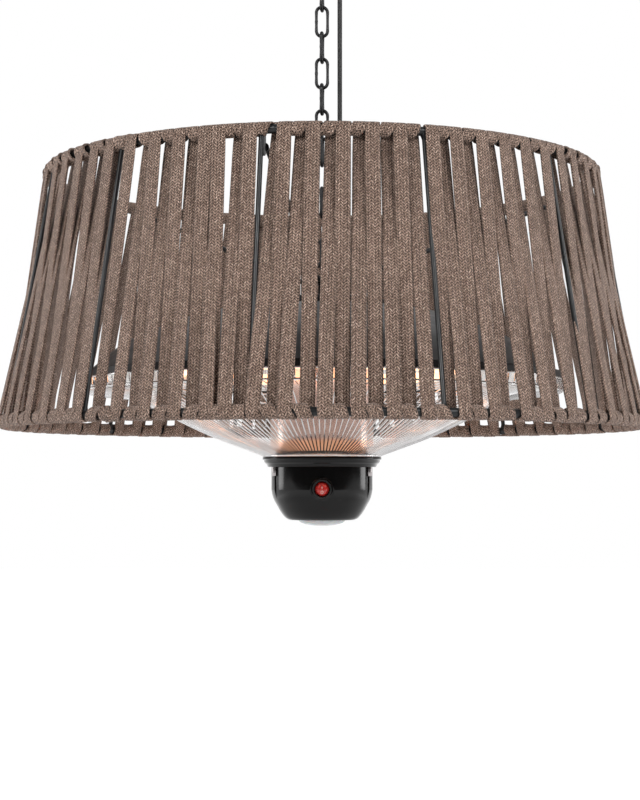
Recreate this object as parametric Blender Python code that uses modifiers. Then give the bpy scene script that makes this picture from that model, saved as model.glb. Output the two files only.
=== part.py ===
"""Hanging patio heater: a ring-lamp heater head inside a shade wound from strap, hung on a chain.

Metres, +Z up. The origin is the centre of the ceiling plate's upper face, and everything hangs
below it. Azimuths start at the front, -Y, and grow towards +X.
"""

import math

import bmesh
import bpy
from mathutils import Vector
from mathutils.kdtree import KDTree

# Clearances
TOUCH_GAP = 0.0003  # between pieces that touch on the real product
CUT_OVERRUN = 0.002  # how far a cutter runs past what it cuts
WELD_OVERLAP = 0.0015  # how far one welded piece sinks into the next
MERGE_DISTANCE = 0.00001  # points closer than this are one point

# Ceiling fitting
PLATE_RADIUS = 0.043
PLATE_THICKNESS = 0.004
COVER_RADIUS = 0.050
COVER_DEPTH = 0.038
COVER_WALL = 0.0015
COVER_BOTTOM_RADIUS_SHARE = 0.80
HOOK_ROD = 0.006
HOOK_BEND_RADIUS = 0.008
HOOK_DEPTH = 0.0640  # from the ceiling to the middle of the hook's lowest wire
HOOK_ARC_POINTS = 16
HOOK_OPENING_ANGLE = math.radians(290)  # how far round the bend runs
NUT_RADIUS = 0.009
NUT_HEIGHT = 0.005

# Chain
LINK_COUNT = 11
LINK_WIRE = 0.0033
LINK_WIDTH = 0.0146
LINK_PITCH = 0.0261
LINK_ARC_POINTS = 6

# Power cable
CABLE_DIAMETER = 0.0048
CABLE_OFFSET = 0.018  # beside the chain, towards +X
CABLE_POINT_SPACING = 0.013
CABLE_TAIL = 0.0003  # the cable ends this far above the cap, inside its gland
GLAND_RADIUS = 0.0062
GLAND_HEIGHT = 0.012
GLAND_TIP_RADIUS_SHARE = 0.62
GLAND_BODY_HEIGHT_SHARE = 0.45

# Hanger: an eye on a collar, with a stud that carries the head
EYE_ROD = 0.005
EYE_RADIUS = 0.008
EYE_POINTS = 16
COLLAR_RADIUS = 0.013
COLLAR_HEIGHT = 0.006
STUD_RADIUS = 0.004
STUD_LENGTH = 0.0171
ARM_ROD = 0.005
ARM_COUNT = 3
ARM_BEND_SHARES = (0.05, 0.95)  # the arm runs level to the first and from the second
TAB_THICKNESS = 0.003
TAB_LENGTH = 0.012
TAB_HEIGHT = 0.018

# Shade: two rings joined by ribs, wound with strap
SHADE_TOP_RADIUS = 0.2713
SHADE_BOTTOM_RADIUS = 0.3173
SHADE_HEIGHT = 0.242  # between the middles of the two rings
RING_ROD = 0.008
RING_STEPS = 72
ROD_SIDES = 6
RIB_ROD = 0.0045
RIB_COUNT = 12
FIRST_RIB = math.radians(-11.1)
RIB_SPACE = math.radians(1.125)  # left free of strap at each rib
STRAP_WIDTH = 0.0129
STRAP_THICKNESS = 0.0032
STRAPS_PER_BAY = 11
STRAP_SIDE_GAP = 0.0008
STRAP_RING_GAP = 0.0006
HOOK_FOLDS = 4  # flat folds of the strap round a ring
STRAP_SAMPLE_SPACING = 0.0005

# Heater head, measured down from the top of its cap
CAP_TO_SHADE_BOTTOM = 0.1235  # cap top above the lower ring's middle
CAP_RADIUS = 0.065
CAP_HEIGHT = 0.010
DOME_RADIUS = 0.238
DOME_DROP = 0.067
DOME_WALL = 0.0015
DOME_HOLE_RADIUS = 0.020
DOME_PROFILE_SHARES = ((0.42, 0.0), (0.576, 0.134), (0.803, 0.463), (0.903, 0.70), (1.0, 1.0))
RIM_WALL = 0.003
RIM_HEIGHT = 0.007
REFLECTOR_WALL = 0.0008
REFLECTOR_SPACE = 0.006  # air between the dome and the reflector
REFLECTOR_INNER_RADIUS = 0.058
REFLECTOR_PROFILE_SHARES = ((0.42, 0.02), (0.62, 0.14), (0.86, 0.52), (1.0, 0.90))
COLUMN_RADIUS = 0.052
COLUMN_WALL = 0.001
LAMP_RADIUS = 0.140
LAMP_TUBE = 0.011
LAMP_DROP = 0.072
LAMP_POINTS = 16
LAMP_END_GAP = 0.0007
HOLDER_WIDTH = 0.020
HOLDER_DEPTH = 0.022
HOLDER_HEIGHT = 0.022
POST_RADIUS = 0.003

# Guard: a welded dish of radial wires
GUARD_WIRE = 0.0022
GUARD_WIRES = 48
GUARD_BAND = 0.0030  # width of the rim band and of the hub band
GUARD_DEPTH = 0.0745
GUARD_PROFILE_SHARES = ((1.0, 0.0), (0.996, 0.155), (0.80, 0.21), (0.466, 0.735), (0.2425, 1.0))

# Pod under the guard
POD_FLANGE_RADIUS = 0.0596
POD_FLANGE_HEIGHT = 0.010
POD_RADIUS = 0.0510
POD_HEIGHT = 0.053
POD_WALL = 0.0025
POD_BOTTOM_RADIUS = 0.034
POD_SHOULDER_SHARES = ((1.0, 0.42), (0.965, 0.58), (0.90, 0.71), (0.82, 0.84), (0.74, 0.94))
LENS_RADIUS = 0.024
LENS_DROP = 0.006
LENS_WALL = 0.0015
LENS_ARC_POINTS = 5
BOARD_RADIUS = 0.030
BOARD_THICKNESS = 0.0016
SCREW_RADIUS = 0.0022
SCREW_LENGTH = 0.009
SCREW_STEPS = 12
CHANNEL_DEPTH = 0.0020  # of the upright channels that the screws stand in
CHANNEL_SIDE_GAP = 0.0012
CHANNEL_LENGTH = 0.035
SCREW_TURNS = (math.radians(-65), math.radians(65), math.radians(180))

# Rocker switch in the front of the pod
BEZEL_RADIUS = 0.0115
BEZEL_PROUD = 0.0020
BEZEL_SEAT_RECESS = 0.0021
BEZEL_FLANGE = 0.0016
WINDOW_RADIUS = 0.0078
BODY_RADIUS = 0.0100
BODY_DEPTH = 0.016
BODY_FLOOR = 0.0025
ROCKER_RADIUS = 0.0074
ROCKER_THROW = math.radians(14)
ROCKER_PROUD = 0.0022
ROCKER_TURN_STEPS = 16
ROCKER_RISE_STEPS = 10
SWITCH_DROP = 0.0217  # below the pod's top edge

TURN_STEPS = 40
SMALL_STEPS = 20

# Heights worked out from the sizes above
HOOK_LOW = -HOOK_DEPTH
LINK_REACH = LINK_PITCH + LINK_WIRE + TOUCH_GAP  # between the middles of a link's end wires
CHAIN_TOP = HOOK_LOW + (HOOK_ROD + LINK_WIRE) / 2 + TOUCH_GAP
CHAIN_BOTTOM = CHAIN_TOP - LINK_PITCH * (LINK_COUNT - 1) - LINK_REACH
EYE_TOP = CHAIN_BOTTOM + (LINK_WIRE + EYE_ROD) / 2 + TOUCH_GAP
EYE_CENTRE = EYE_TOP - EYE_RADIUS
COLLAR_TOP = EYE_CENTRE - EYE_RADIUS + EYE_ROD / 2
COLLAR_BOTTOM = COLLAR_TOP - COLLAR_HEIGHT
ARM_START = (COLLAR_TOP + COLLAR_BOTTOM) / 2
CAP_TOP = COLLAR_BOTTOM - STUD_LENGTH
LOWER_RING = CAP_TOP - CAP_TO_SHADE_BOTTOM
UPPER_RING = LOWER_RING + SHADE_HEIGHT
TAB_BOTTOM = UPPER_RING - RING_ROD / 2 + WELD_OVERLAP - TAB_HEIGHT
ARM_RISE = TAB_BOTTOM + TAB_HEIGHT / 2 - ARM_START
DOME_TOP = CAP_TOP - CAP_HEIGHT - TOUCH_GAP
DOME_RIM = DOME_TOP - DOME_DROP
REFLECTOR_TOP = DOME_TOP - DOME_WALL - REFLECTOR_SPACE
REFLECTOR_RIM_RADIUS = DOME_RADIUS - DOME_WALL - REFLECTOR_SPACE
LAMP_HEIGHT = CAP_TOP - LAMP_DROP
GUARD_TOP = DOME_RIM - RIM_HEIGHT + GUARD_WIRE
GUARD_RIM_RADIUS = DOME_RADIUS + TOUCH_GAP + RIM_WALL
GUARD_BOTTOM = GUARD_TOP - GUARD_DEPTH
POD_FLANGE_TOP = GUARD_BOTTOM - GUARD_WIRE / 2 - TOUCH_GAP
POD_TOP = POD_FLANGE_TOP - POD_FLANGE_HEIGHT - TOUCH_GAP
POD_BOTTOM = POD_TOP - POD_HEIGHT
SWITCH_HEIGHT = POD_TOP - SWITCH_DROP
SWITCH_FACE = -POD_RADIUS - BEZEL_PROUD
ROCKER_PIVOT = SWITCH_FACE - ROCKER_PROUD + ROCKER_RADIUS
COLLECTION = "hanging_patio_heater"


def clear_scene():
    for item in list(bpy.data.objects):
        bpy.data.objects.remove(item, do_unlink=True)


def collection(name):
    made = bpy.data.collections.new(name)
    bpy.context.scene.collection.children.link(made)
    return made


def material(name, colour, roughness, metallic=0.0):
    made = bpy.data.materials.new(name)
    made.use_nodes = True
    shader = made.node_tree.nodes["Principled BSDF"]
    shader.inputs["Base Color"].default_value = (*colour, 1.0)
    shader.inputs["Roughness"].default_value = roughness
    shader.inputs["Metallic"].default_value = metallic
    return made


def add(name, data, finish, home):
    item = bpy.data.objects.new(name, data)
    data.materials.append(finish)
    home.objects.link(item)
    return item


def around(radius, azimuth, height):
    """The point at this radius, azimuth and height."""
    return Vector((radius * math.sin(azimuth), -radius * math.cos(azimuth), height))


def arc(centre, radius, start, sweep, points):
    """Pairs (across, up) along an arc."""
    angles = [start + sweep * i / (points - 1) for i in range(points)]
    return [(centre[0] + radius * math.cos(a), centre[1] + radius * math.sin(a)) for a in angles]


def turned(name, profile, finish, home, steps=TURN_STEPS, closed=False, wall=0.0):
    """A solid turned about Z. The profile runs down its outer side; a wall makes it a shell."""
    mesh = bpy.data.meshes.new(name)
    edges = [(i, i + 1) for i in range(len(profile) - 1)]
    if closed:
        edges.append((len(profile) - 1, 0))
    mesh.from_pydata([(radius, 0, height) for radius, height in profile], edges, [])
    item = add(name, mesh, finish, home)
    screw = item.modifiers.new("Turn", "SCREW")
    screw.steps = steps
    screw.render_steps = steps
    screw.use_merge_vertices = True
    screw.merge_threshold = MERGE_DISTANCE
    if wall:
        shell = item.modifiers.new("Wall", "SOLIDIFY")
        shell.thickness = wall
        shell.offset = -1
        shell.use_even_offset = True
    return item


def rod(name, points, diameter, finish, home, closed=False, resolution=1):
    """A round rod or wire through these points."""
    curve = bpy.data.curves.new(name, "CURVE")
    curve.dimensions = "3D"
    spline = curve.splines.new("POLY")
    spline.points.add(len(points) - 1)
    for place, point in zip(spline.points, points, strict=True):
        place.co = (*point, 1)
    spline.use_cyclic_u = closed
    curve.bevel_depth = diameter / 2
    curve.bevel_resolution = resolution
    curve.use_fill_caps = not closed
    return add(name, curve, finish, home)


def as_mesh(item):
    """The same piece as a mesh, welded at its caps, so that others can be joined to it."""
    graph = bpy.context.evaluated_depsgraph_get()
    mesh = bpy.data.meshes.new_from_object(item.evaluated_get(graph))
    build = bmesh.new()
    build.from_mesh(mesh)
    bmesh.ops.remove_doubles(build, verts=build.verts, dist=MERGE_DISTANCE)
    bmesh.ops.recalc_face_normals(build, faces=build.faces)
    build.to_mesh(mesh)
    build.free()
    made = bpy.data.objects.new(item.name, mesh)
    made.matrix_world = item.matrix_world
    for home in item.users_collection:
        home.objects.link(made)
    name = item.name
    bpy.data.objects.remove(item, do_unlink=True)
    made.name = name
    return made


def tube_piece(name, start, end, radius, finish, home, steps=SMALL_STEPS):
    """A plain cylinder between two points."""
    mesh = bpy.data.meshes.new(name)
    build = bmesh.new()
    axis = Vector(end) - Vector(start)
    bmesh.ops.create_cone(
        build, cap_ends=True, segments=steps, radius1=radius, radius2=radius, depth=axis.length
    )
    build.transform(axis.to_track_quat("Z", "Y").to_matrix().to_4x4())
    bmesh.ops.translate(build, verts=build.verts, vec=(Vector(start) + Vector(end)) / 2)
    build.to_mesh(mesh)
    build.free()
    return add(name, mesh, finish, home)


def block(name, centre, size, azimuth, finish, home):
    """A box whose Y side points away from the axis at this azimuth."""
    mesh = bpy.data.meshes.new(name)
    build = bmesh.new()
    bmesh.ops.create_cube(build, size=1)
    bmesh.ops.scale(build, verts=build.verts, vec=size)
    build.to_mesh(mesh)
    build.free()
    item = add(name, mesh, finish, home)
    item.location = centre
    item.rotation_euler = (0, 0, azimuth)
    return item


def combine(item, other, operation, cutters):
    """Joins or cuts with a helper, which moves to the cutters' collection."""
    change = item.modifiers.new(f"{operation.title()} {other.name}", "BOOLEAN")
    change.operation = operation
    change.solver = "EXACT"
    change.object = other
    for home in list(other.users_collection):
        home.objects.unlink(other)
    cutters.objects.link(other)
    other.hide_render = True
    other.display_type = "WIRE"


def body(name, place, parent=None):
    """An empty on a body's joint axis, which its pieces hang from."""
    item = bpy.data.objects.new(name, None)
    bpy.context.scene.collection.objects.link(item)
    item.location = place
    item.empty_display_size = COLLAR_RADIUS
    bpy.context.view_layer.update()
    if parent:
        attach(item, parent)
    return item


def attach(item, parent):
    item.parent = parent
    item.matrix_parent_inverse = parent.matrix_world.inverted()


def make_ceiling_fitting(home, cutters, looks):
    steel, black, plastic = looks["steel"], looks["black_paint"], looks["black_plastic"]
    plate = turned(
        "ceiling_plate",
        [(0, 0), (PLATE_RADIUS, 0), (PLATE_RADIUS, -PLATE_THICKNESS), (0, -PLATE_THICKNESS)],
        steel, home,
    )
    bottom = -COVER_DEPTH
    low_radius = COVER_RADIUS * COVER_BOTTOM_RADIUS_SHARE
    shank_hole = HOOK_ROD / 2 + TOUCH_GAP
    cover = turned(
        "rose_cover",
        [(COVER_RADIUS, 0), (COVER_RADIUS, bottom + COVER_RADIUS - low_radius), (low_radius, bottom),
         (shank_hole, bottom)],
        black, home, wall=COVER_WALL,
    )
    gland_hole = tube_piece(
        "gland_hole_cutter",
        (CABLE_OFFSET, 0, bottom - CUT_OVERRUN), (CABLE_OFFSET, 0, bottom + COVER_WALL + CUT_OVERRUN),
        CABLE_DIAMETER / 2 + TOUCH_GAP, plastic, home,
    )
    combine(cover, gland_hole, "DIFFERENCE", cutters)
    bend_centre = HOOK_LOW + HOOK_BEND_RADIUS
    bend = arc((0, bend_centre), HOOK_BEND_RADIUS, math.pi / 2, HOOK_OPENING_ANGLE, HOOK_ARC_POINTS)
    hook = rod(
        "ceiling_hook",
        [(0, 0, -PLATE_THICKNESS - TOUCH_GAP)] + [(x, 0, z) for x, z in bend],
        HOOK_ROD, steel, home, resolution=2,
    )
    nut = turned(
        "cover_nut",
        [(shank_hole, bottom - TOUCH_GAP), (NUT_RADIUS, bottom - TOUCH_GAP),
         (NUT_RADIUS, bottom - NUT_HEIGHT), (shank_hole, bottom - NUT_HEIGHT)],
        steel, home, SMALL_STEPS, closed=True,
    )
    gland = make_gland("cable_gland_top", bottom - TOUCH_GAP, -1, plastic, home)
    return [plate, cover, hook, nut, gland]


def make_gland(name, foot, way, finish, home):
    """A tapered sleeve round the cable; way is 1 where it stands up and -1 where it hangs."""
    bore = CABLE_DIAMETER / 2 + TOUCH_GAP
    body_end = foot + way * GLAND_HEIGHT * GLAND_BODY_HEIGHT_SHARE
    tip = foot + way * GLAND_HEIGHT
    tip_radius = max(GLAND_RADIUS * GLAND_TIP_RADIUS_SHARE, bore + TOUCH_GAP)
    profile = [(bore, foot), (GLAND_RADIUS, foot), (GLAND_RADIUS, body_end), (tip_radius, tip), (bore, tip)]
    item = turned(name, profile[::-way], finish, home, SMALL_STEPS, closed=True)
    item.location.x = CABLE_OFFSET
    return item


def link_centre(number):
    """Height of a link's middle, counted down from 0 at the hook."""
    return CHAIN_TOP - LINK_REACH / 2 - LINK_PITCH * number


def make_link(number, finish, home):
    """A closed oval link; the first lies in the YZ plane and the next in the XZ plane."""
    bend = (LINK_WIDTH - LINK_WIRE) / 2
    straight = LINK_REACH / 2 - bend
    upper = arc((0, straight), bend, 0, math.pi, LINK_ARC_POINTS)
    lower = arc((0, -straight), bend, math.pi, math.pi, LINK_ARC_POINTS)
    flat = upper + lower
    middle = link_centre(number)
    points = [(0, a, middle + b) if number % 2 == 0 else (a, 0, middle + b) for a, b in flat]
    return rod(f"chain_link_{number + 1:02d}", points, LINK_WIRE, finish, home, closed=True)


def make_cable(name, top, bottom, finish, home):
    """A straight stretch of the power cable beside the chain."""
    count = max(1, round((top - bottom) / CABLE_POINT_SPACING))
    heights = [top + (bottom - top) * i / count for i in range(count + 1)]
    points = [(CABLE_OFFSET, 0, z) for z in heights]
    return rod(name, points, CABLE_DIAMETER, finish, home, resolution=2)


def make_hanger(home, cutters, looks):
    """The eye, its collar and the stud are one forging."""
    steel = looks["black_paint"]
    circle = arc((0, EYE_CENTRE), EYE_RADIUS, 0, 2 * math.pi, EYE_POINTS + 1)
    eye_points = [(x, 0, z) for x, z in circle[:-1]]
    eye = as_mesh(rod("eye_ring", eye_points, EYE_ROD, steel, home, closed=True))
    collar = turned(
        "hanger_eye",
        [(0, COLLAR_TOP), (COLLAR_RADIUS, COLLAR_TOP), (COLLAR_RADIUS, COLLAR_BOTTOM),
         (STUD_RADIUS, COLLAR_BOTTOM), (STUD_RADIUS, CAP_TOP + TOUCH_GAP), (0, CAP_TOP + TOUCH_GAP)],
        steel, home, SMALL_STEPS,
    )
    combine(collar, eye, "UNION", cutters)
    return collar


def make_arm(number, finish, home):
    azimuth = FIRST_RIB + 2 * math.pi * number / ARM_COUNT
    start = COLLAR_RADIUS + TOUCH_GAP
    end = SHADE_TOP_RADIUS - TAB_LENGTH + WELD_OVERLAP - TOUCH_GAP
    shares = zip((0, *ARM_BEND_SHARES, 1), (0, 0, 1, 1), strict=True)
    points = [around(start + (end - start) * a, azimuth, ARM_START + ARM_RISE * b) for a, b in shares]
    return rod(f"shade_arm_{number + 1}", points, ARM_ROD, finish, home)


def ring_piece(name, radius, height, finish, home):
    bpy.ops.mesh.primitive_torus_add(
        major_segments=RING_STEPS, minor_segments=ROD_SIDES,
        major_radius=radius, minor_radius=RING_ROD / 2, location=(0, 0, height),
    )
    item = bpy.context.active_object
    item.name = name
    item.data.materials.append(finish)
    for old in list(item.users_collection):
        old.objects.unlink(item)
    home.objects.link(item)
    return item


def make_shade_frame(home, cutters, looks):
    """Both rings, the ribs between them and the arms' tabs, welded into one frame."""
    black = looks["black_paint"]
    frame = ring_piece("shade_frame", SHADE_TOP_RADIUS, UPPER_RING, black, home)
    lower = ring_piece("lower_ring", SHADE_BOTTOM_RADIUS, LOWER_RING, black, home)
    combine(frame, lower, "UNION", cutters)
    for i in range(RIB_COUNT):
        azimuth = FIRST_RIB + 2 * math.pi * i / RIB_COUNT
        top = around(SHADE_TOP_RADIUS, azimuth, UPPER_RING)
        bottom = around(SHADE_BOTTOM_RADIUS, azimuth, LOWER_RING)
        rib = tube_piece(f"rib_{i + 1}", top, bottom, RIB_ROD / 2, black, home, ROD_SIDES)
        combine(frame, rib, "UNION", cutters)
    for i in range(ARM_COUNT):
        azimuth = FIRST_RIB + 2 * math.pi * i / ARM_COUNT
        middle = SHADE_TOP_RADIUS - TAB_LENGTH / 2 + WELD_OVERLAP
        centre = around(middle, azimuth, TAB_BOTTOM + TAB_HEIGHT / 2)
        tab = block(f"tab_{i + 1}", centre, (TAB_THICKNESS, TAB_LENGTH, TAB_HEIGHT), azimuth, black, home)
        combine(frame, tab, "UNION", cutters)
    return frame


def strap_path(bay):
    """The middle line of one bay's strap, as (radius, height, azimuth). A rising run goes from
    outside the lower ring to inside the upper one, and a falling run from outside the upper ring
    to inside the lower one. They take turns all the way round, so every other bay starts falling."""
    reach = RING_ROD / 2 + STRAP_RING_GAP + STRAP_THICKNESS / 2
    widening = SHADE_BOTTOM_RADIUS - SHADE_TOP_RADIUS
    lean = math.atan2(widening, SHADE_HEIGHT)
    cross = math.asin(2 * reach / math.hypot(widening, SHADE_HEIGHT))
    slot = (2 * math.pi / RIB_COUNT - RIB_SPACE) / STRAPS_PER_BAY
    first = FIRST_RIB + 2 * math.pi * bay / RIB_COUNT + (RIB_SPACE + slot) / 2
    rising, falling = lean + cross, lean - cross
    fold = (math.pi + rising - falling) / HOOK_FOLDS
    corner = reach / math.cos(fold / 2)

    def hook(radius, height, start, way, folds, slots):
        """Corners round a ring, from the angle start, shifting by this many slots on the way."""
        made = []
        for i in range(folds):
            angle = start + way * fold * (i + 0.5)
            azimuth = first + slot * (slots[0] + (slots[1] - slots[0]) * i / (folds - 1))
            made.append((radius + corner * math.cos(angle), height + corner * math.sin(angle), azimuth))
        return made

    half = HOOK_FOLDS // 2 + 1
    upper = (SHADE_TOP_RADIUS, UPPER_RING)
    lower = (SHADE_BOTTOM_RADIUS, LOWER_RING)
    over = (*upper, math.pi + rising, -1)
    under = (*lower, math.pi + falling, 1)
    if bay * STRAPS_PER_BAY % 2 == 0:
        turns, tail = (over, under), (*lower, rising, -1)
    else:
        turns, tail = (under, over), (*upper, falling, 1)
    path = list(reversed(hook(*tail, half, (0, 0))))
    for j in range(STRAPS_PER_BAY - 1):
        path += hook(*turns[j % 2], HOOK_FOLDS, (j, j + 1))
    last = STRAPS_PER_BAY - 1
    return path + hook(*turns[last % 2], half, (last, last)), slot


def strap_edges(path, slot):
    """The two edges of the strap at each point of its path."""
    rails = []
    for radius, height, azimuth in path:
        width = min(STRAP_WIDTH, slot * radius - STRAP_SIDE_GAP)
        middle = around(radius, azimuth, height)
        side = Vector((math.cos(azimuth), math.sin(azimuth), 0)) * width / 2
        rails.append((middle - side, middle + side))
    return rails


def make_strap(bay, finish, home):
    """One unbroken strap, wound in figures of eight round both rings between two ribs."""
    path, slot = strap_path(bay)
    rails = strap_edges(path, slot)
    name = f"strap_winding_{bay + 1:02d}"
    mesh = bpy.data.meshes.new(name)
    points = [edge for pair in rails for edge in pair]
    faces = [(2 * i, 2 * i + 1, 2 * i + 3, 2 * i + 2) for i in range(len(rails) - 1)]
    mesh.from_pydata(points, [], faces)
    item = add(name, mesh, finish, home)
    shell = item.modifiers.new("Thickness", "SOLIDIFY")
    shell.thickness = STRAP_THICKNESS
    shell.offset = 0
    shell.use_even_offset = True
    return item, rails


def print_least_gap(rails):
    """Prints the least gap between stretches of strap that lie side by side."""
    samples, travelled = [], 0.0
    for (a, b), (c, d) in zip(rails, rails[1:], strict=False):
        out = (b - a).cross(c - a).normalized() * STRAP_THICKNESS / 2
        length = (c - a).length
        count = max(1, round(length / STRAP_SAMPLE_SPACING))
        for i in range(count):
            share = i / count
            for near, far in ((a, c), (b, d)):
                edge = near.lerp(far, share)
                along = travelled + length * share
                samples += [(edge + out, along), (edge - out, along)]
        travelled += length
    tree = KDTree(len(samples))
    for i, (point, _) in enumerate(samples):
        tree.insert(point, i)
    tree.balance()
    apart = 3 * STRAP_WIDTH
    least = min(
        (gap for point, along in samples for _, j, gap in tree.find_range(point, STRAP_WIDTH / 4)
         if abs(samples[j][1] - along) > apart),
        default=STRAP_WIDTH,
    )
    print(f"least gap of a strap to itself: {least * 1000:.2f} mm")


def dome_profile(shares, radius, top, drop):
    return [(radius * a, top - drop * b) for a, b in shares]


def make_head(home, cutters, looks):
    made = []
    cap_bottom = CAP_TOP - CAP_HEIGHT
    made.append(turned(
        "head_cap", [(0, CAP_TOP), (CAP_RADIUS, CAP_TOP), (CAP_RADIUS, cap_bottom), (0, cap_bottom)],
        looks["black_paint"], home,
    ))
    made.append(make_gland("cable_gland_head", CAP_TOP + TOUCH_GAP, 1, looks["black_plastic"], home))
    outer = dome_profile(DOME_PROFILE_SHARES, DOME_RADIUS, DOME_TOP, DOME_DROP)
    made.append(turned(
        "dome_cover", [(DOME_HOLE_RADIUS, DOME_TOP)] + outer, looks["grey_paint"], home, wall=DOME_WALL
    ))
    rim_radius = DOME_RADIUS + TOUCH_GAP
    rim_top = DOME_RIM + RIM_WALL
    made.append(turned(
        "dome_rim",
        [(rim_radius, rim_top), (rim_radius + RIM_WALL, rim_top),
         (rim_radius + RIM_WALL, rim_top - RIM_HEIGHT), (rim_radius, rim_top - RIM_HEIGHT)],
        looks["black_paint"], home, closed=True,
    ))
    return made


def make_heater_core(home, looks):
    """The reflector, the polished column in its middle, the two lamps and their holders."""
    made = []
    outer = dome_profile(REFLECTOR_PROFILE_SHARES, REFLECTOR_RIM_RADIUS, REFLECTOR_TOP, DOME_DROP)
    lip = (DOME_RADIUS - TOUCH_GAP, DOME_RIM - DOME_WALL - TOUCH_GAP)
    made.append(turned(
        "reflector", [(REFLECTOR_INNER_RADIUS, REFLECTOR_TOP), *outer, lip],
        looks["polished"], home, wall=REFLECTOR_WALL,
    ))
    column_top = DOME_TOP - DOME_WALL - TOUCH_GAP
    column_bottom = POD_FLANGE_TOP + TOUCH_GAP
    made.append(turned(
        "column", [(COLUMN_RADIUS, column_top), (COLUMN_RADIUS, column_bottom)],
        looks["polished"], home, wall=COLUMN_WALL,
    ))
    half_space = math.asin((HOLDER_WIDTH / 2 + LAMP_END_GAP) / (LAMP_RADIUS - LAMP_TUBE / 2))
    for i in range(2):
        start = math.pi / 2 + math.pi * i + half_space
        sweep = math.pi - 2 * half_space
        turns = [start + sweep * k / (LAMP_POINTS - 1) for k in range(LAMP_POINTS)]
        points = [around(LAMP_RADIUS, turn, LAMP_HEIGHT) for turn in turns]
        made.append(rod(f"lamp_tube_{i + 1}", points, LAMP_TUBE, looks["lamp"], home))
        azimuth = math.pi / 2 + math.pi * i
        centre = around(LAMP_RADIUS, azimuth, LAMP_HEIGHT)
        made.append(block(
            f"lamp_holder_{i + 1}", centre, (HOLDER_WIDTH, HOLDER_DEPTH, HOLDER_HEIGHT), azimuth,
            looks["ceramic"], home,
        ))
        foot = around(LAMP_RADIUS, azimuth, LAMP_HEIGHT + HOLDER_HEIGHT / 2 + TOUCH_GAP)
        made.append(tube_piece(
            f"holder_post_{i + 1}", foot, around(LAMP_RADIUS, azimuth, post_top()), POST_RADIUS,
            looks["steel"], home,
        ))
    return made


def post_top():
    """Where a holder's post meets the underside of the reflector."""
    shares = REFLECTOR_PROFILE_SHARES
    share = LAMP_RADIUS / REFLECTOR_RIM_RADIUS
    for (a, b), (c, d) in zip(shares, shares[1:], strict=False):
        if a <= share <= c:
            drop = b + (d - b) * (share - a) / (c - a)
            slope = DOME_DROP * (d - b) / (REFLECTOR_RIM_RADIUS * (c - a))
            wall = REFLECTOR_WALL * math.hypot(1, slope)
            return REFLECTOR_TOP - DOME_DROP * drop - wall - POST_RADIUS * slope - TOUCH_GAP
    return REFLECTOR_TOP - DOME_DROP


def make_guard(finish, home):
    """A dish of radial wires between a rim band and a hub band."""
    mesh = bpy.data.meshes.new("guard")
    dish = [(GUARD_RIM_RADIUS * a, GUARD_TOP - GUARD_DEPTH * b) for a, b in GUARD_PROFILE_SHARES]
    profile = [
        dish[0], (dish[0][0], dish[0][1] - GUARD_BAND), *dish[1:], (dish[-1][0] - GUARD_BAND, dish[-1][1]),
    ]
    points, faces = [], []
    for i in range(GUARD_WIRES):
        azimuth = 2 * math.pi * i / GUARD_WIRES
        for side in (-1, 1):
            points += [around(r, azimuth + side * GUARD_WIRE / (2 * r), z) for r, z in profile]
    rows = len(profile)
    for column in range(2 * GUARD_WIRES):
        here, there = column * rows, (column + 1) % (2 * GUARD_WIRES) * rows
        for k in range(rows - 1):
            if column % 2 == 0 or k in (0, rows - 2):
                faces.append((here + k, here + k + 1, there + k + 1, there + k))
    mesh.from_pydata(points, [], faces)
    item = add("guard", mesh, finish, home)
    wires = item.modifiers.new("Wire", "SOLIDIFY")
    wires.thickness = GUARD_WIRE
    wires.offset = 0
    wires.use_even_offset = True
    return item


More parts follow.
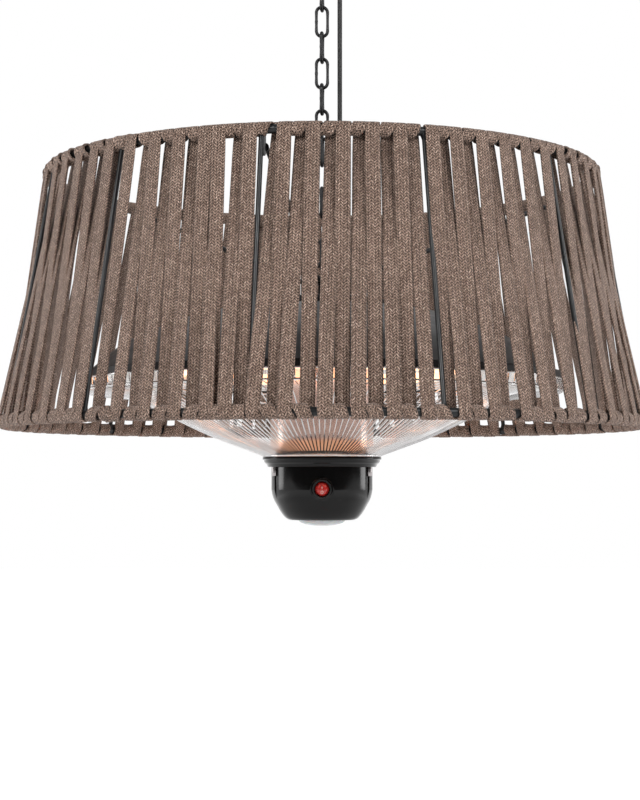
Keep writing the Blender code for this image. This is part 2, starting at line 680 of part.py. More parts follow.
def make_pod(home, cutters, looks):
    black = looks["gloss_black"]
    made = []
    flange_low = POD_FLANGE_TOP - POD_FLANGE_HEIGHT
    made.append(turned(
        "pod_flange",
        [(COLUMN_RADIUS - COLUMN_WALL, POD_FLANGE_TOP), (POD_FLANGE_RADIUS, POD_FLANGE_TOP),
         (POD_FLANGE_RADIUS - POD_WALL / 2, POD_FLANGE_TOP - POD_FLANGE_HEIGHT / 2),
         (POD_RADIUS + POD_WALL, flange_low), (POD_RADIUS - POD_WALL, flange_low)],
        black, home, closed=True,
    ))
    shoulder = [(POD_RADIUS * a, POD_TOP - POD_HEIGHT * b) for a, b in POD_SHOULDER_SHARES]
    pod = turned(
        "pod_housing",
        [(POD_RADIUS, POD_TOP)] + shoulder + [(POD_BOTTOM_RADIUS, POD_BOTTOM), (LENS_RADIUS, POD_BOTTOM)],
        black, home, wall=POD_WALL,
    )
    seat = tube_piece(
        "bezel_seat_cutter", (0, -POD_RADIUS - CUT_OVERRUN, SWITCH_HEIGHT),
        (0, -POD_RADIUS + BEZEL_SEAT_RECESS, SWITCH_HEIGHT), BEZEL_RADIUS + TOUCH_GAP, black, home,
    )
    hole = tube_piece(
        "switch_hole_cutter", (0, -POD_RADIUS - CUT_OVERRUN, SWITCH_HEIGHT),
        (0, -POD_RADIUS + BODY_DEPTH, SWITCH_HEIGHT), BODY_RADIUS + TOUCH_GAP, black, home,
    )
    combine(pod, seat, "DIFFERENCE", cutters)
    combine(pod, hole, "DIFFERENCE", cutters)
    made.append(pod)
    lens_edge = LENS_RADIUS - TOUCH_GAP
    dome = [
        (lens_edge * math.cos(math.pi / 2 * i / LENS_ARC_POINTS),
         POD_BOTTOM - LENS_DROP * math.sin(math.pi / 2 * i / LENS_ARC_POINTS))
        for i in range(LENS_ARC_POINTS + 1)
    ]
    dome[-1] = (0, POD_BOTTOM - LENS_DROP)
    made.append(turned(
        "light_lens", [(lens_edge, POD_BOTTOM + POD_WALL)] + dome, looks["lens"], home, SMALL_STEPS,
        wall=LENS_WALL,
    ))
    board_low = POD_BOTTOM + POD_WALL + TOUCH_GAP
    board_high = board_low + BOARD_THICKNESS
    made.append(turned(
        "light_board",
        [(0, board_high), (BOARD_RADIUS, board_high), (BOARD_RADIUS, board_low), (0, board_low)],
        looks["board"], home, SMALL_STEPS,
    ))
    for i, azimuth in enumerate(SCREW_TURNS):
        made.append(make_pod_screw(i, azimuth, pod, home, cutters, looks["chrome"]))
    return made


def make_pod_screw(number, azimuth, pod, home, cutters, finish):
    """An upright screw into the flange, in a channel down the pod's wall."""
    channel = SCREW_RADIUS + CHANNEL_SIDE_GAP
    middle = POD_RADIUS - CHANNEL_DEPTH + channel
    groove = tube_piece(
        f"screw_channel_{number + 1}", around(middle, azimuth, POD_TOP - CHANNEL_LENGTH),
        around(middle, azimuth, POD_TOP + CUT_OVERRUN), channel, finish, home, SCREW_STEPS,
    )
    combine(pod, groove, "DIFFERENCE", cutters)
    centre = POD_RADIUS - CHANNEL_DEPTH + TOUCH_GAP + SCREW_RADIUS
    return tube_piece(
        f"pod_screw_{number + 1}", around(centre, azimuth, POD_TOP - SCREW_LENGTH),
        around(centre, azimuth, POD_TOP), SCREW_RADIUS, finish, home, SCREW_STEPS,
    )


def make_switch(home, cutters, looks):
    """The round switch body set in the pod's wall."""
    black = looks["gloss_black"]
    back = -POD_RADIUS + BEZEL_SEAT_RECESS - TOUCH_GAP
    bezel = tube_piece(
        "switch_body", (0, SWITCH_FACE, SWITCH_HEIGHT), (0, back, SWITCH_HEIGHT),
        BEZEL_RADIUS, black, home,
    )
    barrel = tube_piece(
        "switch_barrel", (0, SWITCH_FACE + BEZEL_FLANGE / 2, SWITCH_HEIGHT),
        (0, SWITCH_FACE + BODY_DEPTH, SWITCH_HEIGHT), BODY_RADIUS, black, home,
    )
    window = tube_piece(
        "window_cutter", (0, SWITCH_FACE - CUT_OVERRUN, SWITCH_HEIGHT),
        (0, SWITCH_FACE + BODY_DEPTH - BODY_FLOOR, SWITCH_HEIGHT), WINDOW_RADIUS, black, home,
    )
    combine(bezel, barrel, "UNION", cutters)
    combine(bezel, window, "DIFFERENCE", cutters)
    return bezel


def make_rocker(finish, home):
    """A ball-backed rocker whose two front faces meet in a low ridge; it rests tipped one way."""
    mesh = bpy.data.meshes.new("power_rocker")
    build = bmesh.new()
    bmesh.ops.create_uvsphere(
        build, u_segments=ROCKER_TURN_STEPS, v_segments=ROCKER_RISE_STEPS, radius=ROCKER_RADIUS
    )
    front = ROCKER_RADIUS - ROCKER_PROUD / 2
    for tilt in (0, -ROCKER_THROW):
        normal = Vector((0, -math.cos(tilt), math.sin(tilt)))
        cut = bmesh.ops.bisect_plane(
            build, geom=build.verts[:] + build.edges[:] + build.faces[:],
            plane_co=normal * front, plane_no=normal, clear_outer=True,
        )
        edges = [e for e in cut["geom_cut"] if isinstance(e, bmesh.types.BMEdge)]
        bmesh.ops.contextual_create(build, geom=edges)
    bmesh.ops.recalc_face_normals(build, faces=build.faces)
    build.to_mesh(mesh)
    build.free()
    item = add("power_rocker", mesh, finish, home)
    item.location = (0, ROCKER_PIVOT, SWITCH_HEIGHT)
    return item


def make_looks():
    return {
        "steel": material("zinc_steel", (0.60, 0.60, 0.60), 0.35, 1.0),
        "black_paint": material("black_paint", (0.012, 0.012, 0.013), 0.45),
        "black_plastic": material("black_plastic", (0.015, 0.015, 0.016), 0.5),
        "cable": material("cable_jacket", (0.012, 0.012, 0.012), 0.55),
        "strap": material("taupe_strap", (0.17, 0.13, 0.105), 0.9),
        "grey_paint": material("anthracite_paint", (0.055, 0.055, 0.058), 0.4),
        "polished": material("polished_aluminium", (0.86, 0.85, 0.83), 0.1, 1.0),
        "lamp": material("amber_quartz", (0.95, 0.45, 0.15), 0.1),
        "ceramic": material("white_ceramic", (0.75, 0.73, 0.68), 0.5),
        "chrome": material("bright_chrome", (0.75, 0.75, 0.76), 0.12, 1.0),
        "gloss_black": material("gloss_black", (0.008, 0.008, 0.009), 0.12),
        "lens": material("frosted_lens", (0.85, 0.86, 0.86), 0.35),
        "board": material("light_board", (0.80, 0.80, 0.75), 0.5),
        "rocker": material("red_rocker", (0.60, 0.03, 0.03), 0.25),
    }


def make_chain(home, finish):
    return [make_link(i, finish, home) for i in range(LINK_COUNT)]


def cable_heights():
    """Where one stretch of cable ends and the next begins: each bends with one joint."""
    numbers = (0, 1, LINK_COUNT - 2, LINK_COUNT - 1)
    return [-COVER_DEPTH + COVER_WALL, *(link_centre(i) for i in numbers), CAP_TOP + CABLE_TAIL]


def make_cables(home, finish):
    names = (
        "cable_at_ceiling", "cable_at_top_link", "cable_along_chain", "cable_at_last_link", "cable_at_head",
    )
    heights = cable_heights()
    made = []
    for name, top, bottom in zip(names, heights[:-1], heights[1:], strict=True):
        upper = top if name == names[0] else top - TOUCH_GAP
        made.append(make_cable(name, upper, bottom, finish, home))
    return made


def main():
    clear_scene()
    home, cutters = collection(COLLECTION), collection("cutters")
    looks = make_looks()
    ceiling = body("ceiling_body", (0, 0, 0))
    top_link = body("top_link_body", (0, 0, CHAIN_TOP), ceiling)
    chain = body("chain_body", (0, 0, CHAIN_TOP - LINK_PITCH), top_link)
    last_link = body("last_link_body", (0, 0, CHAIN_TOP - LINK_PITCH * (LINK_COUNT - 1)), chain)
    heater = body("heater_body", (0, 0, EYE_TOP), last_link)
    rocker_body = body("rocker_body", (0, ROCKER_PIVOT, SWITCH_HEIGHT), heater)

    pieces = {ceiling: make_ceiling_fitting(home, cutters, looks)}
    links = make_chain(home, looks["black_paint"])
    cables = make_cables(home, looks["cable"])
    pieces[ceiling].append(cables[0])
    pieces[top_link] = [links[0], cables[1]]
    pieces[chain] = [*links[1:-1], cables[2]]
    pieces[last_link] = [links[-1], cables[3]]
    pieces[heater] = [cables[4], make_hanger(home, cutters, looks), make_shade_frame(home, cutters, looks)]
    pieces[heater] += [make_arm(i, looks["black_paint"], home) for i in range(ARM_COUNT)]
    for bay in range(RIB_COUNT):
        strap, rails = make_strap(bay, looks["strap"], home)
        pieces[heater].append(strap)
    print_least_gap(rails)
    pieces[heater] += make_head(home, cutters, looks)
    pieces[heater] += make_heater_core(home, looks)
    pieces[heater].append(make_guard(looks["chrome"], home))
    pieces[heater] += make_pod(home, cutters, looks)
    pieces[heater].append(make_switch(home, cutters, looks))
    pieces[rocker_body] = [make_rocker(looks["rocker"], home)]
    bpy.context.view_layer.update()
    for parent, items in pieces.items():
        for item in items:
            attach(item, parent)


main()
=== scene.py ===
"""Looks of the hanging patio heater, built over its CAD model in the same frame.

Metres, +Z up. Azimuths start at the front, -Y, and grow towards +X.
"""

import random
from math import asin, atan2, cos, hypot, pi, radians, sin

import bmesh
import bpy
import numpy as np
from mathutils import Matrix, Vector


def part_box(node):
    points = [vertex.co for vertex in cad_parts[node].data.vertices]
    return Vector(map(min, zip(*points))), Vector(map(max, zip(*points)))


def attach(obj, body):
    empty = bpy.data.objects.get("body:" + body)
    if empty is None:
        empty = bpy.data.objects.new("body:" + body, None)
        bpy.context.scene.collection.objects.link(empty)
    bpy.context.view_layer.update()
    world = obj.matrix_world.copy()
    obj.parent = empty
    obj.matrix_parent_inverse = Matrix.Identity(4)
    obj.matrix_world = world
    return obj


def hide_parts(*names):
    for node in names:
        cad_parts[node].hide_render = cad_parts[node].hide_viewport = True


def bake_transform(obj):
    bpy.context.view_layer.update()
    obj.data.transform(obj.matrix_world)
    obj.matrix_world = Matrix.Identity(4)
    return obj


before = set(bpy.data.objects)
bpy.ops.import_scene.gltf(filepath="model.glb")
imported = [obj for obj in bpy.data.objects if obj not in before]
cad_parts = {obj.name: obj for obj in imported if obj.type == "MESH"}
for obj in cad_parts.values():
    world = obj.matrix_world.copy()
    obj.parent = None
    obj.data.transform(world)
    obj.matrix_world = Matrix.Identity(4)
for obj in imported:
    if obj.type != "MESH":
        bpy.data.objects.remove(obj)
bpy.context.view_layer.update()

# Heights and sizes of the CAD model
HOOK_LOW = -0.0640
HOOK_RADIUS = 0.008
ROSE_LOW = -0.038
CHAIN_TOP = -0.05905
LINK_COUNT = 11
LINK_WIRE = 0.0033
LINK_WIDTH = 0.0146
LINK_PITCH = 0.0261
LINK_REACH = 0.0297
CABLE_DIAMETER = 0.0048
CABLE_OFFSET = 0.018
EYE_CENTRE = -0.3533
EYE_RADIUS = 0.008
COLLAR_TOP = -0.3588
COLLAR_BOTTOM = -0.3648
STUD_RADIUS = 0.004
CAP_TOP = -0.3819
CAP_RADIUS = 0.065
DOME_TOP = -0.3922
DOME_RADIUS = 0.238
DOME_DEPTH = 0.067
DOME_RIM = -0.4592
RIM_RADIUS = 0.2413
REFLECTOR_RADIUS = 0.2305
COLUMN_RADIUS = 0.052
LAMP_HEIGHT = -0.4539
LAMP_RADIUS = 0.140
LAMP_TUBE = 0.0055
HOLDER_REACH = 0.011
GUARD_TOP = -0.4640
GUARD_BOTTOM = -0.5385
GUARD_DEPTH = 0.0745
FLANGE_TOP = -0.5399
POD_TOP = -0.5502
POD_BOTTOM = -0.6032
POD_DEPTH = 0.053
POD_RADIUS = 0.0510
SCREW_TURNS = [radians(a) for a in (-65, 65, 180)]
SWITCH_HEIGHT = -0.5719
SWITCH_FACE = -POD_RADIUS - 0.0020
TAB_TOP = -0.2650
ARM_COUNT = 3

# The shade's rings, as (radius, height), and the slots for its straps
UPPER = (0.2713, -0.2616)
LOWER = (0.3173, -0.5062)
RING_RADIUS = 0.004
RIB_COUNT = 12
RIB_RADIUS = 0.00225
FIRST_RIB = radians(-11.1)
SLOT = radians(2.625)
STRAPS_PER_BAY = 11
STRAP_WIDTH = 0.0133
STRAP_THICKNESS = 0.0028

# Sizes in the looks alone
WRAP_THICKNESS = 0.0021
REACH = 0.0053
STITCH_WIDTH = 0.0056
STITCH_HEIGHT = 0.0027
CABLE_LAP = 0.00015
WIRE_COUNT = 156
COIL_TURNS = 110
COIL_RADIUS = 0.0024
CHANNEL_RADIUS = 0.0038
SHARP = 35.0

random.seed(7)


# Materials


class Nodes:
    """Shader nodes, added to a tree one by one."""

    def __init__(self, owner):
        owner.use_nodes = True
        self.tree = owner.node_tree

    def feed(self, socket, value):
        if isinstance(value, bpy.types.NodeSocket):
            self.tree.links.new(value, socket)
        elif socket.type == "RGBA" and len(value) == 3:
            socket.default_value = (*value, 1.0)
        else:
            socket.default_value = value

    def node(self, kind, inputs=(), **settings):
        """A new node; its inputs come in their order, or in a dict under their names or numbers."""
        made = self.tree.nodes.new(kind)
        for name, value in settings.items():
            setattr(made, name, value)
        for key, value in inputs.items() if isinstance(inputs, dict) else enumerate(inputs):
            self.feed(made.inputs[key], value)
        return made

    def calc(self, operation, *values):
        return self.node("ShaderNodeMath", values, operation=operation).outputs[0]

    def place(self, output="Object"):
        return self.node("ShaderNodeTexCoord").outputs[output]

    def stretched(self, scale, output="Object"):
        return self.node("ShaderNodeMapping", {"Vector": self.place(output), "Scale": scale}).outputs[0]

    def noise(self, scale, detail, vector=None):
        inputs = {"Vector": self.place() if vector is None else vector, "Scale": scale, "Detail": detail}
        return self.node("ShaderNodeTexNoise", inputs).outputs["Fac"]

    def span(self, value, low, high, start=0.3, end=0.7):
        """From low at start to high at end."""
        return self.node("ShaderNodeMapRange", [value, start, end, low, high]).outputs[0]

    def ramp(self, value, stops):
        made = self.node("ShaderNodeValToRGB", [value])
        band = made.color_ramp
        band.elements[0].position, band.elements[0].color = stops[0][0], (*stops[0][1], 1)
        band.elements[1].position, band.elements[1].color = stops[-1][0], (*stops[-1][1], 1)
        for position, colour in stops[1:-1]:
            band.elements.new(position).color = (*colour, 1)
        return made.outputs[0]

    def mix(self, factor, a, b, blend="MIX"):
        inputs = {0: factor, 6: a, 7: b}
        return self.node("ShaderNodeMix", inputs, data_type="RGBA", blend_type=blend).outputs[2]

    def cloudy(self, fac, a, b):
        """One colour to another, as a noise goes."""
        return self.mix(self.span(fac, 0.0, 1.0), a, b)


class Look(Nodes):
    """A material on one Principled shader."""

    def __init__(self, name, **sockets):
        self.material = bpy.data.materials.new(name)
        super().__init__(self.material)
        self.shader = self.tree.nodes["Principled BSDF"]
        self.set(**sockets)

    def set(self, **sockets):
        for name, value in sockets.items():
            self.feed(self.shader.inputs[name.replace("_", " ")], value)
        return self

    def bump(self, height, distance, strength=1.0):
        made = self.node("ShaderNodeBump", {"Height": height, "Distance": distance, "Strength": strength})
        return self.set(Normal=made.outputs[0])


def grained(name, low, high, cloud, gloss, grain, **sockets):
    """Cloudy colour and gloss over a fine grain; each starts with its noise's scale and detail."""
    look = Look(name, **sockets)
    look.set(Base_Color=look.cloudy(look.noise(*cloud), low, high))
    look.set(Roughness=look.span(look.noise(*gloss[:2]), *gloss[2:]))
    return look.bump(look.noise(*grain[:2]), grain[2])


def painted(name, low, high, roughness):
    """Powder coat, with a fine orange peel."""
    gloss = (60.0, 5.0, roughness - 0.07, roughness + 0.09)
    return grained(name, low, high, (35.0, 4.0), gloss, (900.0, 3.0, 0.00004), Specular_IOR_Level=0.38)


def plastic(name, low, high, roughness, coat, grain=1500.0, depth=0.000006, specular=0.4):
    """Moulded plastic, rubber, glaze or enamel, with faint smears."""
    gloss = (45.0, 6.0, roughness - 0.03, roughness + 0.06)
    return grained(
        name, low, high, (50.0, 3.0), gloss, (grain, 2.0, depth),
        Coat_Weight=coat, Coat_Roughness=0.06, Specular_IOR_Level=specular,
    )


def metal(name, colour, worn, roughness, spread, scale, depth=0.00001):
    """Bare or plated metal, with smudges in its gloss and faint lines along it."""
    look = Look(name, Metallic=1.0)
    smudge = look.noise(1.0, 5.0, look.stretched(scale))
    look.set(Base_Color=look.cloudy(smudge, colour, worn))
    look.set(Roughness=look.span(look.noise(28.0, 6.0), roughness, roughness + spread))
    return look.bump(look.noise(1.0, 4.0, look.stretched(tuple(30.0 * s for s in scale))), depth)


KNIT_SHADES = (
    (0.14, (0.050, 0.030, 0.022)), (0.33, (0.130, 0.084, 0.063)), (0.50, (0.228, 0.153, 0.118)),
    (0.67, (0.37, 0.262, 0.208)), (0.88, (0.70, 0.55, 0.46)),
)


def knit():
    """Flat knitted strap: columns of stitches whose legs lean two ways, in heathered yarn, with painted shade
    between the stitches and a painted highlight on their crests.
    """
    look = Look("knitted_strap", Sheen_Weight=0.12, Sheen_Roughness=0.5, Specular_IOR_Level=0.2)
    calc = look.calc
    split = look.node("ShaderNodeSeparateXYZ", [look.place("UV")])
    across = calc("DIVIDE", split.outputs[0], STITCH_WIDTH)
    along = calc("DIVIDE", split.outputs[1], STITCH_HEIGHT)
    wander = calc("MULTIPLY", look.noise(260.0, 2.0, look.place("UV")), 0.1)
    leg = calc("ABSOLUTE", calc("MULTIPLY_ADD", calc("FRACT", across), 2.0, -1.0))
    phase = calc("ADD", calc("MULTIPLY_ADD", leg, 1.1, along), wander)

    def rounded(value, power):
        wide = calc("MULTIPLY_ADD", value, 2.0, -1.0)
        return calc("SUBTRACT", 1.0, calc("POWER", calc("ABSOLUTE", wide), power))

    yarn = calc("MULTIPLY", rounded(calc("FRACT", phase), 2.2), rounded(leg, 7.0))
    halves = calc("FLOOR", calc("MULTIPLY", across, 2.0))
    stitch = look.node("ShaderNodeCombineXYZ", [halves, calc("FLOOR", phase), 0.0])
    speckle = look.node("ShaderNodeTexWhiteNoise", {"Vector": stitch.outputs[0]}, noise_dimensions="3D")
    fibre = look.noise(1.0, 4.0, look.stretched((1050.0, 900.0, 1.0), "UV"))
    pick = calc("MULTIPLY_ADD", fibre, 1.5, calc("MULTIPLY_ADD", speckle.outputs["Value"], 0.18, -0.33))
    shades = look.ramp(pick, KNIT_SHADES)
    streak = look.span(look.noise(1.0, 3.0, look.stretched((200.0, 9.0, 1.0), "UV")), 0.88, 1.10)
    # Painted shade and highlight: the base colour goes dark where the yarn dips between stitches and lighter
    # on its crests.
    groove = look.span(yarn, 0.0, 1.24, 0.05, 0.80)
    streaks_and_painted_shade = calc("MULTIPLY", streak, groove)
    grey = look.node("ShaderNodeCombineColor", [streaks_and_painted_shade, streaks_and_painted_shade, streaks_and_painted_shade]).outputs[0]
    look.set(Base_Color=look.mix(1.0, shades, grey, "MULTIPLY"))
    look.set(Roughness=look.span(fibre, 0.78, 0.95))
    return look.bump(calc("MULTIPLY_ADD", fibre, 0.15, yarn), 0.0006, 0.9)


def lamp_look():
    """Ruby-amber quartz, lit from within."""
    look = Look("amber_quartz", Roughness=0.06, IOR=1.46, Transmission_Weight=0.35, Coat_Weight=0.5)
    glow = look.noise(1.0, 3.0, look.stretched((60.0, 60.0, 60.0)))
    look.set(Base_Color=look.cloudy(glow, (0.95, 0.30, 0.06), (1.0, 0.48, 0.14)))
    look.set(Emission_Color=look.cloudy(glow, (1.0, 0.66, 0.40), (1.0, 0.78, 0.54)))
    return look.set(Emission_Strength=1.5)


def coil_look():
    """Glowing wire, hotter in places."""
    look = Look("hot_coil", Roughness=0.5)
    heat = look.noise(1.0, 2.0, look.stretched((90.0, 90.0, 90.0)))
    look.set(Emission_Color=look.cloudy(heat, (1.0, 0.60, 0.32), (1.0, 0.72, 0.44)))
    return look.set(Base_Color=(0.3, 0.2, 0.15), Emission_Strength=5.0)


def column_look_painted_glow():
    """Polished tube with painted light: a pinkish base colour that turns orange towards its foot, as painted
    reflections of the lamps, and a painted glow that is stronger at its foot.
    """
    # Painted reflection: the pinkish base colours stand in for the lamps' light on the tube.
    look = metal("column_sheet", (0.86, 0.70, 0.64), (0.78, 0.62, 0.57), 0.10, 0.16, (90.0, 90.0, 4.0))
    height = look.node("ShaderNodeSeparateXYZ", [look.place()]).outputs[2]
    reflection_noise = look.noise(1.0, 3.0, look.stretched((120.0, 120.0, 6.0)))
    # Painted reflection of the lamps: an orange base colour towards the foot.
    painted_lamp_reflection = look.cloudy(reflection_noise, (0.93, 0.56, 0.38), (0.98, 0.68, 0.50))
    foot = look.span(height, 0.0, 1.0, -0.5210, -0.5250)
    look.set(Base_Color=look.mix(foot, look.shader.inputs["Base Color"].links[0].from_socket, painted_lamp_reflection))
    # Painted glow: the tube glows along its whole length, more orange and brighter at its foot, though it is
    # no lamp.
    glow = look.mix(foot, (0.16, 0.115, 0.10), (0.42, 0.20, 0.11))
    return look.set(Emission_Color=glow, Emission_Strength=0.8, Metallic=0.85)


LOOKS = {
    "zinc_steel": metal(
        "zinc_plate", (0.50, 0.51, 0.52), (0.62, 0.62, 0.60), 0.26, 0.18, (55.0, 55.0, 55.0), 0.00002),
    "black_paint": painted("black_powder_coat", (0.010, 0.010, 0.011), (0.018, 0.018, 0.019), 0.40),
    "grey_ring_paint": painted("ring_powder_coat", (0.007, 0.0075, 0.008), (0.012, 0.013, 0.014), 0.34),
    "black_plastic": plastic(
        "black_nylon", (0.012, 0.012, 0.013), (0.02, 0.02, 0.021), 0.46, 0.0, 900.0, 0.00003),
    "cable_jacket": plastic(
        "cable_rubber", (0.010, 0.010, 0.010), (0.019, 0.018, 0.018), 0.44, 0.0, 700.0, 0.00004),
    "taupe_strap": knit(),
    "anthracite_paint": painted("anthracite_powder_coat", (0.070, 0.072, 0.076), (0.095, 0.097, 0.102), 0.36),
    "polished_aluminium": metal(
        "polished_sheet", (0.88, 0.86, 0.84), (0.80, 0.77, 0.74), 0.07, 0.12, (3.0, 3.0, 90.0)),
    "white_ceramic": plastic(
        "glazed_ceramic", (0.70, 0.68, 0.63), (0.78, 0.76, 0.71), 0.28, 0.4, 700.0, 0.00002),
    "bright_chrome": metal(
        "chrome_plate", (0.74, 0.73, 0.73), (0.62, 0.61, 0.61), 0.06, 0.12, (60.0, 60.0, 60.0)),
    "screw_steel": metal(
        "screw_steel", (0.40, 0.37, 0.37), (0.30, 0.28, 0.28), 0.16, 0.12, (60.0, 60.0, 60.0)),
    "gloss_black": plastic(
        "gloss_moulding", (0.003, 0.003, 0.0032), (0.005, 0.0045, 0.0045), 0.13, 0.0, specular=0.24),
    "light_board": plastic("board_enamel", (0.72, 0.72, 0.66), (0.80, 0.80, 0.75), 0.4, 0.2),
    "column_sheet": column_look_painted_glow(),
    "amber_quartz": lamp_look(),
    "hot_coil": coil_look(),
    "frosted_lens": grained(
        "frosted_diffuser", (0.46, 0.47, 0.48), (0.56, 0.57, 0.58), (70.0, 5.0), (120.0, 4.0, 0.3, 0.45),
        (1800.0, 2.0, 0.00002), Subsurface_Weight=0.35, Subsurface_Scale=0.004, Coat_Weight=0.2),
    "red_rocker": grained(
        "red_rocker_plastic", (0.74, 0.035, 0.030), (0.86, 0.055, 0.045), (160.0, 3.0),
        (300.0, 3.0, 0.20, 0.34), (2200.0, 2.0, 0.00001), Transmission_Weight=0.25, IOR=1.5, Coat_Weight=0.35,
        Coat_Roughness=0.08),
    "mark_print": plastic("mark_print", (0.86, 0.62, 0.58), (0.92, 0.70, 0.66), 0.5, 0.0),
}


# Shapes


def around(radius, azimuth, height):
    return Vector((radius * sin(azimuth), -radius * cos(azimuth), height))


def full_turn(count):
    """Angles evenly round a circle."""
    return [2 * pi * k / count for k in range(count)]


def rectangle(inner, outer, first, second):
    """Its corners, as (radius, height)."""
    return [(inner, first), (outer, first), (outer, second), (inner, second)]


def added(name, data):
    """A new object in the scene."""
    item = bpy.data.objects.new(name, data)
    bpy.context.scene.collection.objects.link(item)
    return item


def meshed(name, points, faces):
    mesh = bpy.data.meshes.new(name)
    mesh.from_pydata([tuple(p) for p in points], [], faces)
    return mesh


def piece(name, points, faces, look, body="heater", replaces=(), slot=None, smooth=SHARP):
    """A mesh in the part's frame that rides on a body."""
    mesh = meshed(name, points, faces)
    mesh.polygons.foreach_set("use_smooth", [True] * len(mesh.polygons))
    mesh.set_sharp_from_angle(angle=radians(smooth))
    mesh.materials.append(LOOKS[look].material)
    item = added(name, mesh)
    if replaces:
        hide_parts(*replaces)
    slot or look
    if body:
        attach(item, body)
    return item


def join(*parts):
    """Several (points, faces) as one."""
    points, faces = [], []
    for more, theirs in parts:
        faces += [tuple(i + len(points) for i in face) for face in theirs]
        points += list(more)
    return points, faces


def lathe(profile, steps, flip=False):
    """A (radius, height) profile turned about Z, down its outside; closed unless it ends on the axis."""
    points, rows = [], []
    for radius, height in profile:
        if radius < 1e-6:
            rows.append([len(points)])
            points.append((0.0, 0.0, height))
        else:
            rows.append(list(range(len(points), len(points) + steps)))
            points += [tuple(around(radius, turn, height)) for turn in full_turn(steps)]
    pairs = list(zip(rows, rows[1:]))
    if len(rows[0]) > 1 and len(rows[-1]) > 1:
        pairs.append((rows[-1], rows[0]))
    faces = []
    for upper, lower in pairs:
        for i in range(steps):
            j = (i + 1) % steps
            corners = ((upper, i), (lower, i), (lower, j), (upper, j))
            face = list(dict.fromkeys(row[k % len(row)] for row, k in corners))
            if len(face) > 2:
                faces.append(tuple(face[::-1] if flip else face))
    return points, faces


def filleted(corners, radius, closed=False, steps=4):
    """An outline in 2D or 3D with its corners rounded; radius is one number or one each."""
    count = len(corners)
    made = []
    for i, corner in enumerate(corners):
        here = Vector(corner)
        size = radius[i] if isinstance(radius, (tuple, list)) else radius
        if size <= 0 or (not closed and i in (0, count - 1)):
            made.append(tuple(here))
            continue
        back, ahead = Vector(corners[i - 1]) - here, Vector(corners[(i + 1) % count]) - here
        reach = min(size, 0.48 * back.length, 0.48 * ahead.length)
        start, end = here + back.normalized() * reach, here + ahead.normalized() * reach
        for k in range(steps + 1):
            t = k / steps
            made.append(tuple(start * (1 - t) ** 2 + here * (2 * t * (1 - t)) + end * t ** 2))
    return made


def smooth_curve(points, steps):
    """A curve through these points."""
    spots = [Vector(p) for p in points]
    spots = [spots[0] * 2 - spots[1], *spots, spots[-1] * 2 - spots[-2]]
    made = []
    for a, b, c, d in zip(spots, spots[1:], spots[2:], spots[3:]):
        for k in range(steps):
            t = k / steps
            square, cube = a * 2 - b * 5 + c * 4 - d, b * 3 - a - c * 3 + d
            made.append(tuple((b * 2 + (c - a) * t + square * t ** 2 + cube * t ** 3) / 2))
    return made + [tuple(spots[-2])]


def skin(count, sides, closed=False):
    """The faces of a tube through rings of points, and of its ends."""
    faces = []
    for i in range(count if closed else count - 1):
        here, there = i * sides, (i + 1) % count * sides
        for k in range(sides):
            n = (k + 1) % sides
            faces.append((here + k, here + n, there + n, there + k))
    if not closed:
        faces += [tuple(range(sides))[::-1], tuple(range((count - 1) * sides, count * sides))]
    return faces


def sweep(path, radius, sides, closed=False):
    """A round bar along a path; radius is one number or one for each point."""
    path = [Vector(p) for p in path]
    count = len(path)
    tangents = []
    for i in range(count):
        before = path[i - 1] if closed or i else path[0]
        after = path[(i + 1) % count] if closed or i < count - 1 else path[-1]
        tangents.append((after - before).normalized())
    normal = tangents[0].orthogonal().normalized()
    points = []
    for i, (spot, tangent) in enumerate(zip(path, tangents, strict=True)):
        normal = (normal - tangent * normal.dot(tangent)).normalized()
        other = tangent.cross(normal)
        size = radius[i] if isinstance(radius, (tuple, list)) else radius
        points += [spot + (normal * cos(a) + other * sin(a)) * size for a in full_turn(sides)]
    return points, skin(count, sides, closed)


def hoop(radius, height, thickness, steps, sides):
    """A round bar bent into a level ring."""
    outline = [(radius + thickness * cos(a), height - thickness * sin(a)) for a in full_turn(sides)]
    return lathe(outline, steps)


def turning(start, end, outline, steps):
    """A piece turned about the line from start to end; outline has (radius, share of the way)."""
    start, end = Vector(start), Vector(end)
    axis = end - start
    turn = Vector((0, 0, -1)).rotation_difference(axis.normalized())
    flat, faces = lathe([(r, -share * axis.length) for r, share in outline], steps)
    return [start + turn @ Vector(p) for p in flat], faces


def cylinder(start, end, radius, steps):
    return turning(start, end, ((0, 0), (radius, 0), (radius, 1), (0, 1)), steps)


def slab(outline, thickness, azimuth):
    """A flat plate in an upright plane through the axis; its outline has (radius, height)."""
    side = Vector((cos(azimuth), sin(azimuth), 0)) * (thickness / 2)
    count = len(outline)
    points = [around(r, azimuth, z) + s * side for s in (-1, 1) for r, z in outline]
    faces = [tuple(range(count)), tuple(range(2 * count - 1, count - 1, -1))]
    faces += [(i, i + count, (i + 1) % count + count, (i + 1) % count) for i in range(count)]
    return points, faces


def block(inner, outer, low, high, thickness, azimuth):
    """A slab between two radii and two heights."""
    return slab(rectangle(inner, outer, low, high), thickness, azimuth)


def apply_modifiers(item):
    """Makes the result of an object's modifiers its own mesh."""
    graph = bpy.context.evaluated_depsgraph_get()
    mesh = bpy.data.meshes.new_from_object(item.evaluated_get(graph))
    item.modifiers.clear()
    item.data = mesh
    item.data.set_sharp_from_angle(angle=radians(SHARP))


def bevel(item, width, segments=2, angle=40.0):
    """Rounds an object's sharp edges for good."""
    change = item.modifiers.new("Edges", "BEVEL")
    change.width, change.segments, change.limit_method = width, segments, "ANGLE"
    change.angle_limit = radians(angle)
    apply_modifiers(item)


